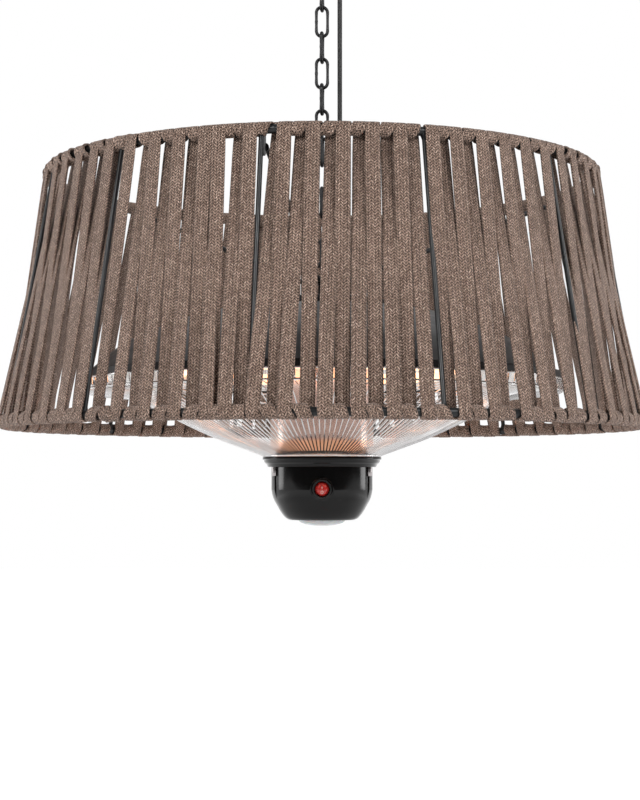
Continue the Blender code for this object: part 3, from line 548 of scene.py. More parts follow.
def cut(item, *tools):
    """Cuts (points, faces) shapes out of an object for good."""
    made = []
    for shape in tools:
        mesh = meshed("tool", *shape)
        build = bmesh.new()
        build.from_mesh(mesh)
        bmesh.ops.recalc_face_normals(build, faces=build.faces)
        build.to_mesh(mesh)
        build.free()
        tool = added("tool", mesh)
        made.append(tool)
        change = item.modifiers.new("Cut", "BOOLEAN")
        change.operation, change.solver, change.object = "DIFFERENCE", "EXACT", tool
    apply_modifiers(item)
    for tool in made:
        mesh = tool.data
        bpy.data.objects.remove(tool, do_unlink=True)
        bpy.data.meshes.remove(mesh)


# Straps


RISE = atan2(LOWER[0] - UPPER[0], UPPER[1] - LOWER[1])
CROSS = asin(2 * REACH / hypot(LOWER[0] - UPPER[0], UPPER[1] - LOWER[1]))
UP, DOWN = RISE + CROSS, RISE - CROSS

# A roll is one and a half turns round a ring. The strap is narrower there, and gains the rest in between.
ROLL = 540
WRAPPED, GAINED = 0.95, 0.05
CROWN = 0.14

# How far a strap has shifted as it goes round a ring, in degrees: turned so far, and the shift at each
OVER_UPPER = ((0, 90, 180, 240, 270, 360, 450, 540), (0.35, 0.3, -0.15, -1.0, -1.5, -2.27, -2.6, -2.825))
UNDER_LOWER = ((0, 90, 180, 240, 270, 360, 450, 540), (-0.85, -0.95, -1.4, -2.1, -2.6, -3.15, -3.6, -3.875))
START_UPPER = ((0, 90, 180, 225, 270, 360, 450, 540), (3.0, 2.9, 2.2, 1.1, 0.35, 0.2, 0.0, -0.1))
START_LOWER = ((60, 90, 180, 240, 270, 360, 450, 540), (2.1, 2.0, 1.1, 0.3, 0.1, -0.4, -0.8, -1.1))
END_WRAP = ((0, 90, 180, 270, 360), (-3.4, -3.0, -2.3, -1.6, -1.2))

# Bays wound the other way
MIRRORED = (7, 8, 9, 10, 11)
# How many degrees a bay's straps stand off their slots: at the top, at the foot
SHIFTS = {
    0: ((0, 0, 0, -0.1, 0.3, 0, 0.15, 0, 0.1, -0.2, -0.45),
        (0, 0, -0.5, -0.15, 0.25, 0, 0, 0, 0.15, 0, 0)),
    1: ((-0.5, -0.8, -1, -0.8, -0.8, -0.8, -0.8, -0.8, -0.8, -0.4, -0.6),
        (-0.4, -0.2, -0.2, -0.2, -0.4, 0.3, 0, -0.55, -0.2, -0.2, -0.5)),
    2: ((1.2, -1.5, 0.8, -1.6, 0.5, -0.8, 0, 0, 0, 0, 0),
        (-1.2, -0.6, 0, 0, 0, 0, 0, 0, 0, 0, 0)),
    10: ((0.3, -2, -0.8, -2.6, 0.3, -2.4, 0.9, -1.9, 0.8, -1.8, 0),
         (0, -0.5, -1, -1.5, -1.5, -1.5, -1.5, -1.5, -1.5, -1.5, -1.5)),
    11: ((0.2, -0.6, 0.8, -0.8, -1.8, -1.8, -1.8, -1.8, -1.8, -1.8, -1.35),
         (0, 0.4, 0.2, -2, -2, -2, -2, -2, -2, -2, 0.8)),
}
# Further short wraps: {bay: (ring, slot beside it, degrees from that slot)}
SHORT_WRAPS = {11: ((UPPER, 1, 2.1), (LOWER, 10, -4.2))}
# By what share of its width the strap spreads as it goes round the upper ring
BROAD_WRAPS = {2: 0.3, 9: 0.35, 10: 0.42}


def shift_at(table, turned):
    """The shift at this turn, in radians, as the mean of those near it."""
    near = np.linspace(turned - 22, turned + 22, 9)
    return radians(float(np.interp(near, *table).mean()))


def wrap(ring, table, centre, first, last, broad=0.0):
    """A strap round a ring, from one turn to another, in degrees, as (place, normal, share of width)."""
    upper = ring is UPPER
    whole = 3 * pi + UP - DOWN
    count = max(2, round(abs(last - first) / 12))
    made = []
    for i in range(count + 1):
        turned = first + (last - first) * i / count
        share = turned / ROLL
        angle = pi + UP - whole * share if upper else pi + DOWN + whole * share
        azimuth = centre + shift_at(table, turned)
        spot = around(ring[0] + REACH * cos(angle), azimuth, ring[1] + REACH * sin(angle))
        normal = around(cos(angle), azimuth, sin(angle)) * (-1 if upper else 1)
        width = 0.82 if table is START_UPPER and 240 <= turned <= 330 else WRAPPED
        if not upper and 230 <= turned <= 480:
            width = 1.08
        if upper and turned <= 360:
            width += broad * min(1.0, 1.0 - cos(radians(turned)))
        made.append((spot, normal, width))
    return made


def straight(a, b):
    """A strap between two rolls, sampled closer together near the rings."""
    steps = 28
    made = []
    for i in range(1, steps):
        t = 0.5 - 0.5 * cos(pi * i / steps)
        ease = min(1.0, 16.0 * min(t, 1.0 - t))
        made.append((a[0].lerp(b[0], t), a[1].lerp(b[1], t).normalized(), WRAPPED + GAINED * ease))
    return made


def moved_about(sample, angle):
    """The sample moved round the axis by a small angle."""
    c, s = cos(angle), sin(angle)
    place, normal = (Vector((v.x * c - v.y * s, v.x * s + v.y * c, v.z)) for v in sample[:2])
    return place, normal, sample[2]


def strap_samples(bay):
    """A bay's strap, wound from its last slot to its first, or the other way, and its short wraps."""
    middle = FIRST_RIB + pi / RIB_COUNT + 2 * pi * bay / RIB_COUNT
    last = STRAPS_PER_BAY - 1
    spread = 0.0 if bay in (0, 1, 11) else 0.15
    wobble = [radians(random.uniform(-spread, spread)) for _ in range(STRAPS_PER_BAY)]
    wobble[0] = wobble[-1] = 0.0
    broad = BROAD_WRAPS.get(bay, 0.0)

    def rises(j):
        return (bay * STRAPS_PER_BAY + j) % 2 == 0

    def place(j, ring):
        extra = SHIFTS[bay][0 if ring is UPPER else 1][j] if bay in SHIFTS else 0
        return middle + SLOT * (j - last / 2) + wobble[j] + radians(extra)

    if rises(last):
        samples = wrap(LOWER, START_LOWER, place(last, LOWER), 70, ROLL)
    else:
        samples = wrap(UPPER, START_UPPER, place(last, UPPER), 20, ROLL)
    for j in range(last, 0, -1):
        ring, table = (UPPER, OVER_UPPER) if rises(j) else (LOWER, UNDER_LOWER)
        group = wrap(ring, table, place(j, ring), 0, ROLL, broad)
        drift = place(j - 1, ring) + SLOT - place(j, ring)
        group = [moved_about(s, drift * (i / (len(group) - 1)) ** 2) for i, s in enumerate(group)]
        samples += straight(samples[-1], group[0]) + group
    ring, shift, way = (UPPER, 1.0, -1) if rises(0) else (LOWER, -0.2, 1)
    turns = 250 if bay in MIRRORED and ring is LOWER else 75
    tail = wrap(ring, ((0, ROLL), (shift, shift)), place(0, ring), 0, turns)
    lift = 0.0034 if rises(0) else 0.0
    tail = [(p + n * way * lift * (1 - 0.75 * i / (len(tail) - 1)), n, w) for i, (p, n, w) in enumerate(tail)]
    samples += straight(samples[-1], tail[0]) + tail
    if bay not in MIRRORED:
        return [samples]
    across = Vector((cos(middle), sin(middle), 0))
    parts = [samples, wrap(UPPER, END_WRAP, place(0, UPPER), 0, 360, broad)]
    for ring, slot, aside in SHORT_WRAPS.get(bay, ()):
        parts.append(wrap(ring, ((0, 360), (aside - 0.5, aside + 0.5)), place(slot, ring), 0, 360))
    return [
        [(p - across * (2 * p.dot(across)), n - across * (2 * n.dot(across)), w) for p, n, w in part]
        for part in parts
    ]


def strap_section(crown):
    """The cross-section as (across, out), each from -1 to 1; crown is how much its edges fall away."""
    edge = 0.78 * STRAP_THICKNESS / STRAP_WIDTH
    flat = [(-1 + edge + (2 - 2 * edge) * i / 6) for i in range(7)]
    top = [(x, 1 - crown * x * x) for x in flat]
    bottom = [(x, -y) for x, y in reversed(top)]
    low = 1 - crown * (1 - edge) ** 2
    right = [(1 - edge + edge * sin(a), low * cos(a)) for a in (0.9, pi / 2, pi - 0.9)]
    left = [(-x, -y) for x, y in right]
    return top + right + bottom + left


def build_strap(name, samples, nodes, offset):
    """A strap along its samples, with a UV map in metres round it and along it."""
    section = strap_section(CROWN)
    count, sides = len(samples), len(section)
    half_width, half_thick = STRAP_WIDTH / 2, STRAP_THICKNESS / 2
    thin = WRAP_THICKNESS / STRAP_THICKNESS
    points, lengths, travelled = [], [], 0.0
    for i, (spot, normal, width) in enumerate(samples):
        before, after = samples[max(0, i - 1)][0], samples[min(count - 1, i + 1)][0]
        tangent = (after - before).normalized()
        side = tangent.cross(normal).normalized()
        out = side.cross(tangent)
        if i:
            travelled += (spot - samples[i - 1][0]).length
        lengths.append(travelled)
        full = min(1.0, max(0.0, (width - WRAPPED) / GAINED))
        tall = half_thick * (thin + (1 - thin) * full)
        shape = strap_section(2 * CROWN - CROWN * full)
        points += [spot + side * (x * half_width * width) + out * (y * tall) for x, y in shape]
    girth = [0.0]
    for (a, b), (c, d) in zip(section, section[1:] + section[:1], strict=True):
        girth.append(girth[-1] + hypot((c - a) * half_width, (d - b) * half_thick))
    quad = ((0, 0), (1, 0), (1, 1), (0, 1))
    marks = [(girth[k + a], lengths[i + b]) for i in range(count - 1) for k in range(sides) for a, b in quad]
    end = [(x * half_width, y * half_thick) for x, y in section]
    marks += end[::-1] + end
    item = piece(name, points, skin(count, sides), "taupe_strap", replaces=nodes, smooth=60.0)
    layer = item.data.uv_layers.new(name="yarn")
    layer.data.foreach_set("uv", [x for u, v in marks for x in (u + offset, v + offset)])


def build_straps():
    """The winding of each bay, with its short end wraps where it has them."""
    for bay in range(RIB_COUNT):
        number, offset = f"{bay + 1:02d}", 0.37 * bay
        winding, *ends = strap_samples(bay)
        build_strap(f"wound_strap_{number}", winding, (f"strap_winding_{number}",), offset)
        for i, samples in enumerate(ends, 1):
            build_strap(f"strap_end_{number}_{i}", samples, (), offset + 0.11 * i)


# Shade frame and its arms


def build_frame():
    """Both rings, and the ribs between them, thicker at their welds."""
    parts = [hoop(*ring, RING_RADIUS, 192, 14) for ring in (UPPER, LOWER)]
    for turn in full_turn(RIB_COUNT):
        azimuth = FIRST_RIB + turn
        top, bottom = around(UPPER[0], azimuth, UPPER[1]), around(LOWER[0], azimuth, LOWER[1])
        weld = 0.0075 / (bottom - top).length
        near, thick = [0, 0.55 * weld, 0.75 * weld, weld], [1.5, 1.5, 1.22, 1]
        shares = near + [0.25, 0.5, 0.75] + [1 - t for t in reversed(near)]
        sizes = [RIB_RADIUS * s for s in thick + [1, 1, 1] + thick[::-1]]
        parts.append(sweep([top.lerp(bottom, t) for t in shares], sizes, 14))
    piece("ring_frame", *join(*parts), "grey_ring_paint", replaces=("shade_frame",), slot="black_paint")


def build_arm(i):
    """A tab under the upper ring, and the arm that is welded to it and to the collar."""
    turn = FIRST_RIB + 2 * pi * i / ARM_COUNT
    reach, low = UPPER[0] + 0.001, TAB_TOP - 0.0189
    outline = filleted(
        [(reach, TAB_TOP), (reach, low + 0.004), (reach - 0.006, low), (reach - 0.0125, low + 0.002),
         (reach - 0.0125, TAB_TOP)],
        [0, 0.004, 0.006, 0.005, 0.002], closed=True, steps=5,
    )
    tab = piece(f"arm_tab_{i + 1}", *slab(outline, 0.003, turn), "black_paint", smooth=40.0)
    bevel(tab, 0.0005)
    start, end = 0.0128, UPPER[0] - 0.0120
    level = (COLLAR_TOP + COLLAR_BOTTOM) / 2
    rise = TAB_TOP - 0.0099 - level
    shares = ((0, 0), (0.05, 0), (0.95, 1), (1, 1))
    spots = [around(start + (end - start) * a, turn, level + rise * b) for a, b in shares]
    path = filleted(spots, 0.012, steps=8)
    parts = [sweep(path, 0.0025, 16)]
    for spot, toward in ((path[0], path[1]), (path[-1], path[-2])):
        way = (Vector(toward) - Vector(spot)).normalized()
        bead = [Vector(spot) + way * d for d in (-0.0006, 0.0004, 0.0014, 0.0024)]
        parts.append(sweep(bead, [0.0040, 0.0038, 0.0032, 0.0024], 16))
    piece(f"curved_arm_{i + 1}", *join(*parts), "black_paint", replaces=(f"shade_arm_{i + 1}",))


# Chain, cable and ceiling fitting


def oval(number):
    """A link with its bead of weld; those seen edge on hang a little askew."""
    bend = (LINK_WIDTH - LINK_WIRE) / 2
    half = LINK_REACH / 2 - bend
    flat = [(bend * cos(pi * k / 14), half + bend * sin(pi * k / 14)) for k in range(15)]
    flat += [(-bend, half * (1 - 2 * k / 8)) for k in range(1, 8)]
    flat += [(-x, -y) for x, y in flat]
    sizes = [LINK_WIRE / 2 * (1.0 if abs(y) > half else 0.86 + 0.14 * (y / half) ** 2) for _, y in flat]
    sizes[18] *= 1.2
    middle = CHAIN_TOP - LINK_REACH / 2 - LINK_PITCH * number
    askew = radians(81) if number % 2 == 0 else radians(3)
    path = [(a * cos(askew), a * sin(askew), middle + b) for a, b in flat]
    return sweep(path, sizes, 14, closed=True)


def build_chain():
    """The links: the first and the last on bodies of their own."""
    for i, owner in enumerate(["top_link"] + ["chain"] * (LINK_COUNT - 2) + ["last_link"]):
        number = f"{i + 1:02d}"
        piece(f"welded_link_{number}", *oval(i), "black_paint", owner, replaces=(f"chain_link_{number}",))


CABLES = (
    ("cable_at_ceiling", "ceiling_mount", "top_link"), ("cable_at_top_link", "top_link", "chain"),
    ("cable_along_chain", "chain", None), ("cable_at_last_link", "chain", "last_link"),
    ("cable_at_head", "last_link", "heater"),
)


def build_cable(node, above, below):
    """A straight stretch of cable: one that spans two bodies is left on neither, and one within a body rides
    on it.
    """
    low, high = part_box(node)
    bottom = low[2] - (CABLE_LAP if below != "heater" else 0)
    top = high[2] + (CABLE_LAP if above != "ceiling_mount" else 0)
    count = max(8, round((top - bottom) / 0.0025))
    path = [(CABLE_OFFSET, 0, top + (bottom - top) * k / count) for k in range(count + 1)]
    jacket = piece(
        node.replace("cable_", "jacket_"), *sweep(path, CABLE_DIAMETER / 2, 20), "cable_jacket",
        None if below else above, replaces=(node,),
    )
    if below:
        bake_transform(jacket)


def gland(foot, way):
    """A cable gland: a round body and a ribbed, tapering sleeve."""
    outline = [(0.0027, 0.0), (0.0060, 0.0), (0.0062, 0.0003), (0.0062, 0.0050), (0.0056, 0.0055)]
    for k in range(5):
        rib, groove = 0.0050 - 0.00022 * k, 0.0043 - 0.00018 * k
        z = 0.0058 + 0.0011 * k
        outline += [(rib, z), (rib, z + 0.0005), (groove, z + 0.0006), (groove, z + 0.0010)]
    outline += [(0.0037, 0.0120), (0.0027, 0.0120)]
    flat = [(r, foot + way * z) for r, z in outline]
    points, faces = lathe(flat[::-1] if way > 0 else flat, 48)
    return [(p[0] + CABLE_OFFSET, p[1], p[2]) for p in points], faces


def build_ceiling_fitting():
    """Rose, plate, hook, knurled nut, and the glands at both ends of the cable."""
    outer = [(0.050, 0.0), (0.050, -0.028), (0.040, ROSE_LOW), (0.0034, ROSE_LOW)]
    rose = filleted(outer, [0, 0.006, 0.004, 0], steps=6)
    inner = [(0.0034, -0.0365), (0.0393, -0.0365), (0.0485, -0.0273), (0.0485, 0.0)]
    rose = lathe(rose + filleted(inner, [0, 0.003, 0.005, 0], steps=6), 128)
    piece("ceiling_rose", *rose, "black_paint", "ceiling_mount", replaces=("rose_cover",))
    plate = filleted(rectangle(0, 0.043, 0, -0.004), [0, 0.0004, 0.0008, 0])
    piece("ceiling_disc", *lathe(plate, 96), "zinc_steel", "ceiling_mount", replaces=("ceiling_plate",))
    angles = [pi / 2 + radians(290) * k / 28 for k in range(29)]
    hook = [(0, 0, -0.0040 - 0.0445 * k / 6) for k in range(6)]
    hook += [(HOOK_RADIUS * cos(a), 0, HOOK_LOW + HOOK_RADIUS + HOOK_RADIUS * sin(a)) for a in angles]
    hook = sweep(hook, [0.003] * (len(hook) - 1) + [0.0024], 18)
    piece("lamp_hook", *hook, "zinc_steel", "ceiling_mount", replaces=("ceiling_hook",))
    nut = filleted(rectangle(0.0033, 0.009, -0.0383, -0.0430), 0.0006, closed=True)
    steps, knurl = 96, 4
    points, faces = lathe(nut, steps)
    for k, (x, y, z) in enumerate(points):
        grooved = k % steps % knurl < knurl / 2 and hypot(x, y) > 0.0085
        points[k] = Vector((x, y, 0)) * (0.95 if grooved else 1) + Vector((0, 0, z))
    piece("knurled_nut", points, faces, "zinc_steel", "ceiling_mount", replaces=("cover_nut",), smooth=25.0)
    upper = gland(ROSE_LOW - 0.0003, -1)
    piece("rose_gland", *upper, "black_plastic", "ceiling_mount", replaces=("cable_gland_top",))
    piece("cap_gland", *gland(CAP_TOP + 0.0003, 1), "black_plastic", replaces=("cable_gland_head",))


# Hanger and head


def build_hanger():
    """Eye, collar and threaded stud in one, and the nut on the stud."""
    ring = [(EYE_RADIUS * cos(a), 0, EYE_CENTRE + EYE_RADIUS * sin(a)) for a in full_turn(48)]
    collar = filleted(
        [(0, COLLAR_TOP), (0.013, COLLAR_TOP), (0.013, COLLAR_BOTTOM), (STUD_RADIUS, COLLAR_BOTTOM)],
        [0, 0.0014, 0.001, 0],
    )
    thread = []
    for k in range(9):
        z = COLLAR_BOTTOM - 0.0008 - 0.00125 * k
        thread += [(STUD_RADIUS, z), (0.0035, z - 0.0006)]
    foot = CAP_TOP + 0.0003
    stud = [(STUD_RADIUS, COLLAR_BOTTOM - 0.0125), (STUD_RADIUS, foot), (0, foot)]
    parts = join(sweep(ring, 0.0025, 18, closed=True), lathe(collar + thread + stud, 64))
    piece("eye_bolt", *parts, "black_paint", replaces=("hanger_eye",), smooth=40.0)
    nut = ((0, 0.0048), (0.0066, 0.0048), (0.0075, 0.0043), (0.0075, 0.0008), (0.0066, 0.0002), (0, 0.0002))
    piece("stud_nut", *lathe([(r, CAP_TOP + z) for r, z in nut], 6), "zinc_steel", smooth=20.0)


def build_cap():
    """The cap with its three slotted screws."""
    cap = filleted(rectangle(0, CAP_RADIUS, CAP_TOP, CAP_TOP - 0.010), [0, 0.0025, 0.0008, 0], steps=6)
    piece("head_lid", *lathe(cap, 144), "black_paint", replaces=("head_cap",))
    for i in range(3):
        turn = radians(30 + 120 * i)
        foot = around(0.052, turn, CAP_TOP)
        outline = ((0.0036, 0.0), (0.0036, 0.35), (0.0030, 0.75), (0.0016, 1.0), (0, 1.0))
        head = turning(foot, foot + Vector((0, 0, 0.0018)), outline, 28)
        screw = piece(f"lid_screw_{i + 1}", *head, "zinc_steel")
        cut(screw, block(0.0486, 0.0554, CAP_TOP + 0.0011, CAP_TOP + 0.003, 0.0008, turn))


def build_head():
    """Dome, rim, reflector, and the column with the seal at its foot."""
    shares = ((0.42, 0.0), (0.576, 0.134), (0.803, 0.463), (0.903, 0.70), (1.0, 1.0))
    line = smooth_curve([(DOME_RADIUS * a, DOME_TOP - DOME_DEPTH * b) for a, b in shares], 8)
    under = [(r - 0.0009, z - 0.0013) for r, z in reversed(line)]
    low = DOME_TOP - 0.0015
    dome = [(0.020, DOME_TOP), (0.09, DOME_TOP), *line, *under, (0.09, low), (0.020, low)]
    dome = lathe(dome, 192)
    piece("domed_cover", *dome, "anthracite_paint", replaces=("dome_cover",), smooth=40.0)
    lip = filleted(rectangle(0.2383, RIM_RADIUS, DOME_RIM + 0.003, DOME_RIM - 0.004), 0.0009, closed=True)
    piece("rolled_rim", *lathe(lip, 192), "black_paint", replaces=("dome_rim",))
    shares = ((0.42, 0.02), (0.62, 0.14), (0.86, 0.52), (1.0, 0.90))
    top = DOME_TOP - 0.0075
    line = smooth_curve([(REFLECTOR_RADIUS * a, top - DOME_DEPTH * b) for a, b in shares], 8)
    line = [(0.058, top), *line, (0.2376, DOME_RIM - 0.0018)]
    sheet = lathe(line + [(r - 0.0004, z - 0.0007) for r, z in reversed(line)], 192)
    piece("spun_reflector", *sheet, "polished_aluminium", replaces=("reflector",), smooth=40.0)
    tube = lathe(rectangle(0.051, COLUMN_RADIUS, DOME_TOP - 0.0018, FLANGE_TOP + 0.0003), 144)
    # Its look paints the lamps' reflection and a glow into the tube.
    piece("polished_column", *tube, "column_sheet", replaces=("column",), slot="polished_aluminium")
    low, high = FLANGE_TOP + 0.0004, FLANGE_TOP + 0.0058
    seal = filleted([(0.0523, low), (0.0523, high), (0.0552, high), (0.0564, low)], 0.0008, closed=True)
    piece("column_seal", *lathe(seal, 144), "black_plastic", slot="gloss_black")


def build_lamp(i):
    """One of the two lamps with its coil, and a holder on its post."""
    turn = pi / 2 + pi * i
    half_gap = asin(0.0107 / (LAMP_RADIUS - LAMP_TUBE))
    begin, span = turn + half_gap, pi - 2 * half_gap
    tube = sweep([around(LAMP_RADIUS, begin + span * k / 72, LAMP_HEIGHT) for k in range(73)], LAMP_TUBE, 20)
    piece(f"quartz_tube_{i + 1}", *tube, "amber_quartz", replaces=(f"lamp_tube_{i + 1}",))
    coil, steps = [], 8
    for k in range(COIL_TURNS * steps + 1):
        place = begin + span * (0.02 + 0.96 * k / (COIL_TURNS * steps))
        wind = 2 * pi * k / steps
        radius, height = COIL_RADIUS * cos(wind), COIL_RADIUS * sin(wind)
        coil.append(around(LAMP_RADIUS + radius, place, LAMP_HEIGHT + height))
    piece(f"heating_coil_{i + 1}", *sweep(coil, 0.00035, 5), "hot_coil", slot="amber_quartz")
    near, far = LAMP_RADIUS - HOLDER_REACH, LAMP_RADIUS + HOLDER_REACH
    sides = block(near, far, LAMP_HEIGHT - HOLDER_REACH, LAMP_HEIGHT + HOLDER_REACH, 0.020, turn)
    holder = piece(f"ceramic_block_{i + 1}", *sides, "white_ceramic", replaces=(f"lamp_holder_{i + 1}",))
    bevel(holder, 0.0022, 4)
    box_low, box_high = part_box(f"holder_post_{i + 1}")
    x = around(LAMP_RADIUS, turn, LAMP_HEIGHT).x
    post = cylinder((x, 0, box_high[2]), (x, 0, box_low[2]), 0.003, 32)
    piece(f"threaded_post_{i + 1}", *post, "zinc_steel", replaces=(f"holder_post_{i + 1}",))


# Guard


def build_guard():
    """Wires from the dome's rim down to the flange, and three rings that hold them."""
    shares = ((1.0, 0.0), (0.996, 0.155), (0.80, 0.21), (0.466, 0.735), (0.2425, 1.0))
    line = [(RIM_RADIUS * a, GUARD_TOP - GUARD_DEPTH * b) for a, b in shares]
    line = filleted(line, [0, 0.007, 0.016, 0.020, 0], steps=6)
    parts = []
    for k in range(WIRE_COUNT):
        azimuth = 2 * pi * (k + 0.5) / WIRE_COUNT
        parts.append(sweep([around(r, azimuth, z) for r, z in line], 0.00065, 6))
    parts += [
        hoop(RIM_RADIUS, GUARD_TOP, 0.0012, 192, 10), hoop(0.2404, GUARD_TOP - 0.0105, 0.0011, 192, 10),
        hoop(0.0588, GUARD_BOTTOM, 0.0011, 128, 10),
    ]
    piece("wire_guard", *join(*parts), "bright_chrome", replaces=("guard",), smooth=60.0)


# Pod, switch and light


def build_flange():
    """The stepped flange and the bright trim on it."""
    outline = (
        (0.0500, 0), (0.0598, 0), (0.0601, 0.0024), (0.0586, 0.0030), (0.0580, 0.0056), (0.0556, 0.0074),
        (0.0546, 0.0100), (0.0490, 0.0100),
    )
    flange = filleted(
        [(r, FLANGE_TOP - z) for r, z in outline],
        [0.0003, 0.0006, 0.0009, 0.0005, 0.0016, 0.0012, 0.0006, 0.0003], closed=True, steps=5,
    )
    piece("stepped_flange", *lathe(flange, 144), "gloss_black", replaces=("pod_flange",))
    low, high = FLANGE_TOP + 0.0001, FLANGE_TOP + 0.0013
    trim = filleted([(0.0520, high), (0.0594, high), (0.0604, low), (0.0520, low)], 0.0004, closed=True)
    piece("flange_trim", *lathe(trim, 144), "bright_chrome")


def build_pod():
    """The pod's shell, cut out for the switch and the screws, and the screws in its wall."""
    profile = (
        (1.0, 0.0), (1.0, 0.42), (0.985, 0.505), (0.965, 0.58), (0.93, 0.655), (0.895, 0.715), (0.855, 0.785),
        (0.815, 0.85), (0.765, 0.915), (0.715, 0.965), (0.66, 0.995),
    )
    wall = [(POD_RADIUS * a, POD_TOP - POD_DEPTH * b) for a, b in profile] + [(0.032, POD_BOTTOM)]
    outer = [wall[0], *smooth_curve(wall[1:], 4), (0.0242, POD_BOTTOM)]
    inner = [
        (0.0242, POD_BOTTOM + 0.0022), (0.0315, POD_BOTTOM + 0.0024), (0.040, POD_BOTTOM + 0.0085),
        (0.0465, POD_BOTTOM + 0.021), (0.0486, POD_TOP - 0.020), (0.0486, POD_TOP),
    ]
    shell = lathe(outer + inner, 144)
    shell = piece("pod_shell", *shell, "gloss_black", replaces=("pod_housing",))
    seat = cylinder((0, SWITCH_FACE, SWITCH_HEIGHT), (0, -POD_RADIUS + 0.0021, SWITCH_HEIGHT), 0.0118, 64)
    bore = cylinder((0, -POD_RADIUS, SWITCH_HEIGHT), (0, -POD_RADIUS + 0.016, SWITCH_HEIGHT), 0.0103, 64)
    channels, bed = [], POD_RADIUS - 0.0020
    for turn in SCREW_TURNS:
        x, y, _ = around(bed + CHANNEL_RADIUS, turn, 0)
        channels.append(cylinder((x, y, POD_TOP - 0.035), (x, y, POD_TOP + 0.002), CHANNEL_RADIUS, 32))
    cut(shell, seat, bore, *channels)
    for i, turn in enumerate(SCREW_TURNS):
        x, y, _ = around(bed + 0.0030, turn, 0)
        outline = ((0, 0), (0.0018, 0), (0.0024, 0.04), (0.0026, 0.10), (0.0026, 1.0), (0, 1))
        screw = piece(
            f"flange_screw_{i + 1}", *turning((x, y, POD_TOP - 0.009), (x, y, POD_TOP), outline, 32),
            "screw_steel", replaces=(f"pod_screw_{i + 1}",), slot="bright_chrome",
        )
        low, high = POD_TOP - 0.0100, POD_TOP - 0.0080
        cut(screw, block(POD_RADIUS - 0.0006, POD_RADIUS + 0.0026, low, high, 0.0007, turn))


def build_switch():
    """The switch's body with its flat bezel, and the rolled lip round the rocker."""
    outline = (
        (0.0, 0.84375), (0.0078, 0.84375), (0.0078, 0.03), (0.0082, 0.0), (0.0108, 0.0), (0.0113, 0.02),
        (0.0115, 0.05), (0.0115, 0.2375), (0.0100, 0.2375), (0.0100, 1.0), (0.0, 1.0),
    )
    bezel = turning((0, SWITCH_FACE, SWITCH_HEIGHT), (0, SWITCH_FACE + 0.016, SWITCH_HEIGHT), outline, 72)
    piece("switch_bezel", *bezel, "gloss_black", replaces=("switch_body",))
    lip = [(0.0086 + 0.0009 * cos(a), 0.0006 * sin(a)) for a in full_turn(16)]
    rolled, faces = lathe(lip, 72, flip=True)
    points = [(x, SWITCH_FACE - z, y + SWITCH_HEIGHT) for x, y, z in rolled]
    piece("switch_lip", points, faces, "black_plastic", slot="gloss_black")


def build_rocker():
    """A ball-backed rocker with two front faces that meet in a low ridge, and its marks."""
    radius, proud, throw = 0.0074, 0.0022, radians(14)
    build = bmesh.new()
    bmesh.ops.create_uvsphere(build, u_segments=64, v_segments=40, radius=radius)
    front = radius - proud / 2
    for tilt in (0, -throw):
        normal = Vector((0, -cos(tilt), sin(tilt)))
        made = bmesh.ops.bisect_plane(
            build, geom=build.verts[:] + build.edges[:] + build.faces[:],
            plane_co=normal * front, plane_no=normal, clear_outer=True,
        )
        edge = [e for e in made["geom_cut"] if isinstance(e, bmesh.types.BMEdge)]
        bmesh.ops.contextual_create(build, geom=edge)
    bmesh.ops.recalc_face_normals(build, faces=build.faces)
    build.verts.index_update()
    pivot = Vector((0, SWITCH_FACE - proud + radius, SWITCH_HEIGHT))
    points, faces = [v.co + pivot for v in build.verts], [[v.index for v in f.verts] for f in build.faces]
    build.free()
    item = piece(
        "switch_rocker", points, faces, "red_rocker", "rocker", replaces=("power_rocker",), smooth=25.0,
    )
    bevel(item, 0.00025, 2, 8.0)
    marks = []
    for tilt, height in ((0, -0.0031), (-throw, 0.0031)):
        normal = Vector((0, -cos(tilt), sin(tilt)))
        up = Vector((0, sin(tilt), cos(tilt)))
        centre = pivot + normal * (front + 0.00003) + up * (height / cos(tilt))
        if tilt == 0:
            rim = [centre + up * (0.00135 * sin(a)) + Vector((0.00115 * cos(a), 0, 0)) for a in full_turn(28)]
            marks.append(sweep(rim, 0.00026, 6, closed=True))
        else:
            marks.append(sweep([centre + up * d for d in (-0.0014, -0.0005, 0.0005, 0.0014)], 0.00032, 6))
    piece("switch_marks", *join(*marks), "mark_print", "rocker", slot="red_rocker")


def bowl(radius, depth):
    """The outline of a bowl under the pod, from its rim to its middle."""
    angles = [pi / 2 * k / 12 for k in range(12)]
    wall = [(radius * cos(a), POD_BOTTOM - depth * sin(a)) for a in angles]
    return [(radius, POD_BOTTOM + 0.0020), *wall, (0, POD_BOTTOM - depth)]


def build_light():
    """The lens, and the look of the board behind it."""
    lens = bowl(0.0237, 0.006) + bowl(0.0222, 0.0045)[::-1]
    piece("light_diffuser", *lathe(lens, 96), "frosted_lens", replaces=("light_lens",))
    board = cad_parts["light_board"]
    board.data.materials.clear()
    board.data.materials.append(LOOKS["light_board"].material)


# Camera, floor, light and background


def set_camera():
    camera = added("camera", bpy.data.cameras.new("camera"))
    camera.location = (-0.002, -1.787, -0.5649)
    camera.rotation_euler = (pi / 2, 0, 0)
    camera.data.lens = 79.58
    camera.data.sensor_width = 36.0
    camera.data.shift_y = 0.1025
    bpy.context.scene.camera = camera


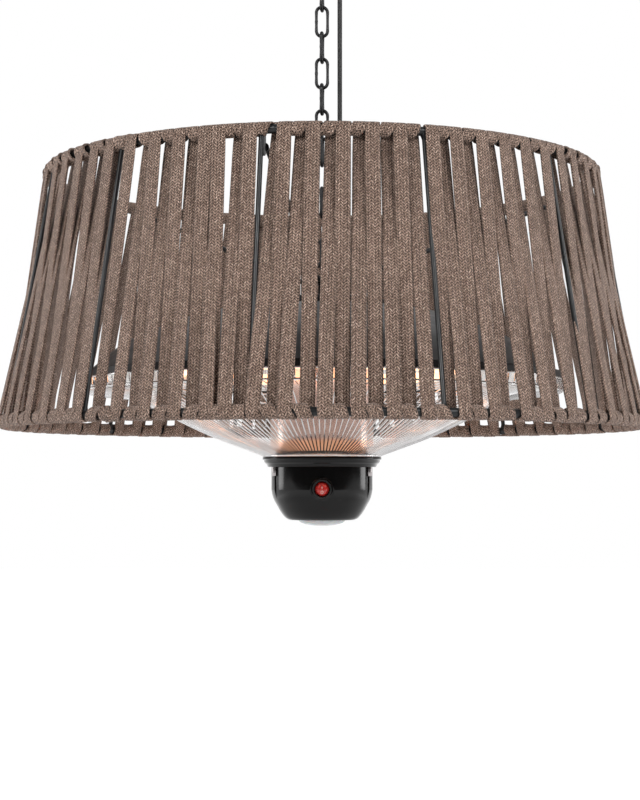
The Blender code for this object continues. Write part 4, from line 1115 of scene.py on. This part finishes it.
def build_floor():
    """A pale floor that glows, as painted light, dimly near the heater and brightly further off."""
    look = Look("pale_floor", Roughness=0.6)
    look.set(Base_Color=look.cloudy(look.noise(2.0, 3.0), (0.82, 0.82, 0.82), (0.78, 0.78, 0.78)))
    away = look.node("ShaderNodeVectorMath", [look.place()], operation="LENGTH").outputs["Value"]
    # Painted light: the floor's glow is weak within about 1.8 m of the origin and strong beyond 3.4 m.
    look.set(Emission_Color=(1.0, 1.0, 1.0), Emission_Strength=look.span(away, 0.12, 0.95, 1.8, 3.4))
    corners = [(x, y, -1.35) for x, y in ((-14, -3.2), (14, -3.2), (14, 14), (-14, 14))]
    mesh = meshed("floor", corners, [(0, 1, 2, 3)])
    mesh.materials.append(look.material)
    floor = added("floor", mesh)


def studio():
    """White where it is seen; the light it gives is dim in front of the heater and bright behind it."""
    world = bpy.data.worlds.new("studio")
    bpy.context.scene.world = world
    sky = Nodes(world)
    white = sky.node("ShaderNodeBackground", [(1, 1, 1, 1), 1.0])
    behind = sky.node("ShaderNodeSeparateXYZ", [sky.place("Generated")]).outputs[1]
    room = sky.node("ShaderNodeBackground", [(1, 1, 1, 1), sky.span(behind, 0.07, 0.80, -0.1, 0.75)])
    seen = sky.node("ShaderNodeLightPath").outputs["Is Camera Ray"]
    either = sky.node("ShaderNodeMixShader", [seen, room.outputs[0], white.outputs[0]])
    sky.feed(sky.tree.nodes["World Output"].inputs["Surface"], either.outputs[0])


def area(name, place, size, power):
    """A lamp with a broad face, turned to the middle of the heater."""
    lamp = bpy.data.lights.new(name, "AREA")
    lamp.shape, lamp.size, lamp.size_y = "RECTANGLE", *size
    lamp.energy = power
    item = added(name, lamp)
    item.location = place
    item.rotation_euler = (Vector((0, 0, -0.42)) - Vector(place)).to_track_quat("-Z", "Y").to_euler()


set_camera()
build_straps()
build_frame()
for arm in range(ARM_COUNT):
    build_arm(arm)
build_chain()
for stretch in CABLES:
    build_cable(*stretch)
build_ceiling_fitting()
build_hanger()
build_cap()
build_head()
for lamp in range(2):
    build_lamp(lamp)
build_guard()
build_flange()
build_pod()
build_switch()
build_rocker()
build_light()
build_floor()
studio()
area("key_left", (-1.7, -2.6, 1.3), (1.6, 1.2), 66.0)
area("key_right", (1.9, -2.4, 1.2), (1.6, 1.2), 62.0)
area("side_left", (-3.0, 0.9, 0.1), (1.0, 2.0), 34.0)
area("side_right", (3.0, 0.9, 0.1), (1.0, 2.0), 34.0)
bpy.context.scene.view_settings.view_transform = "Standard"
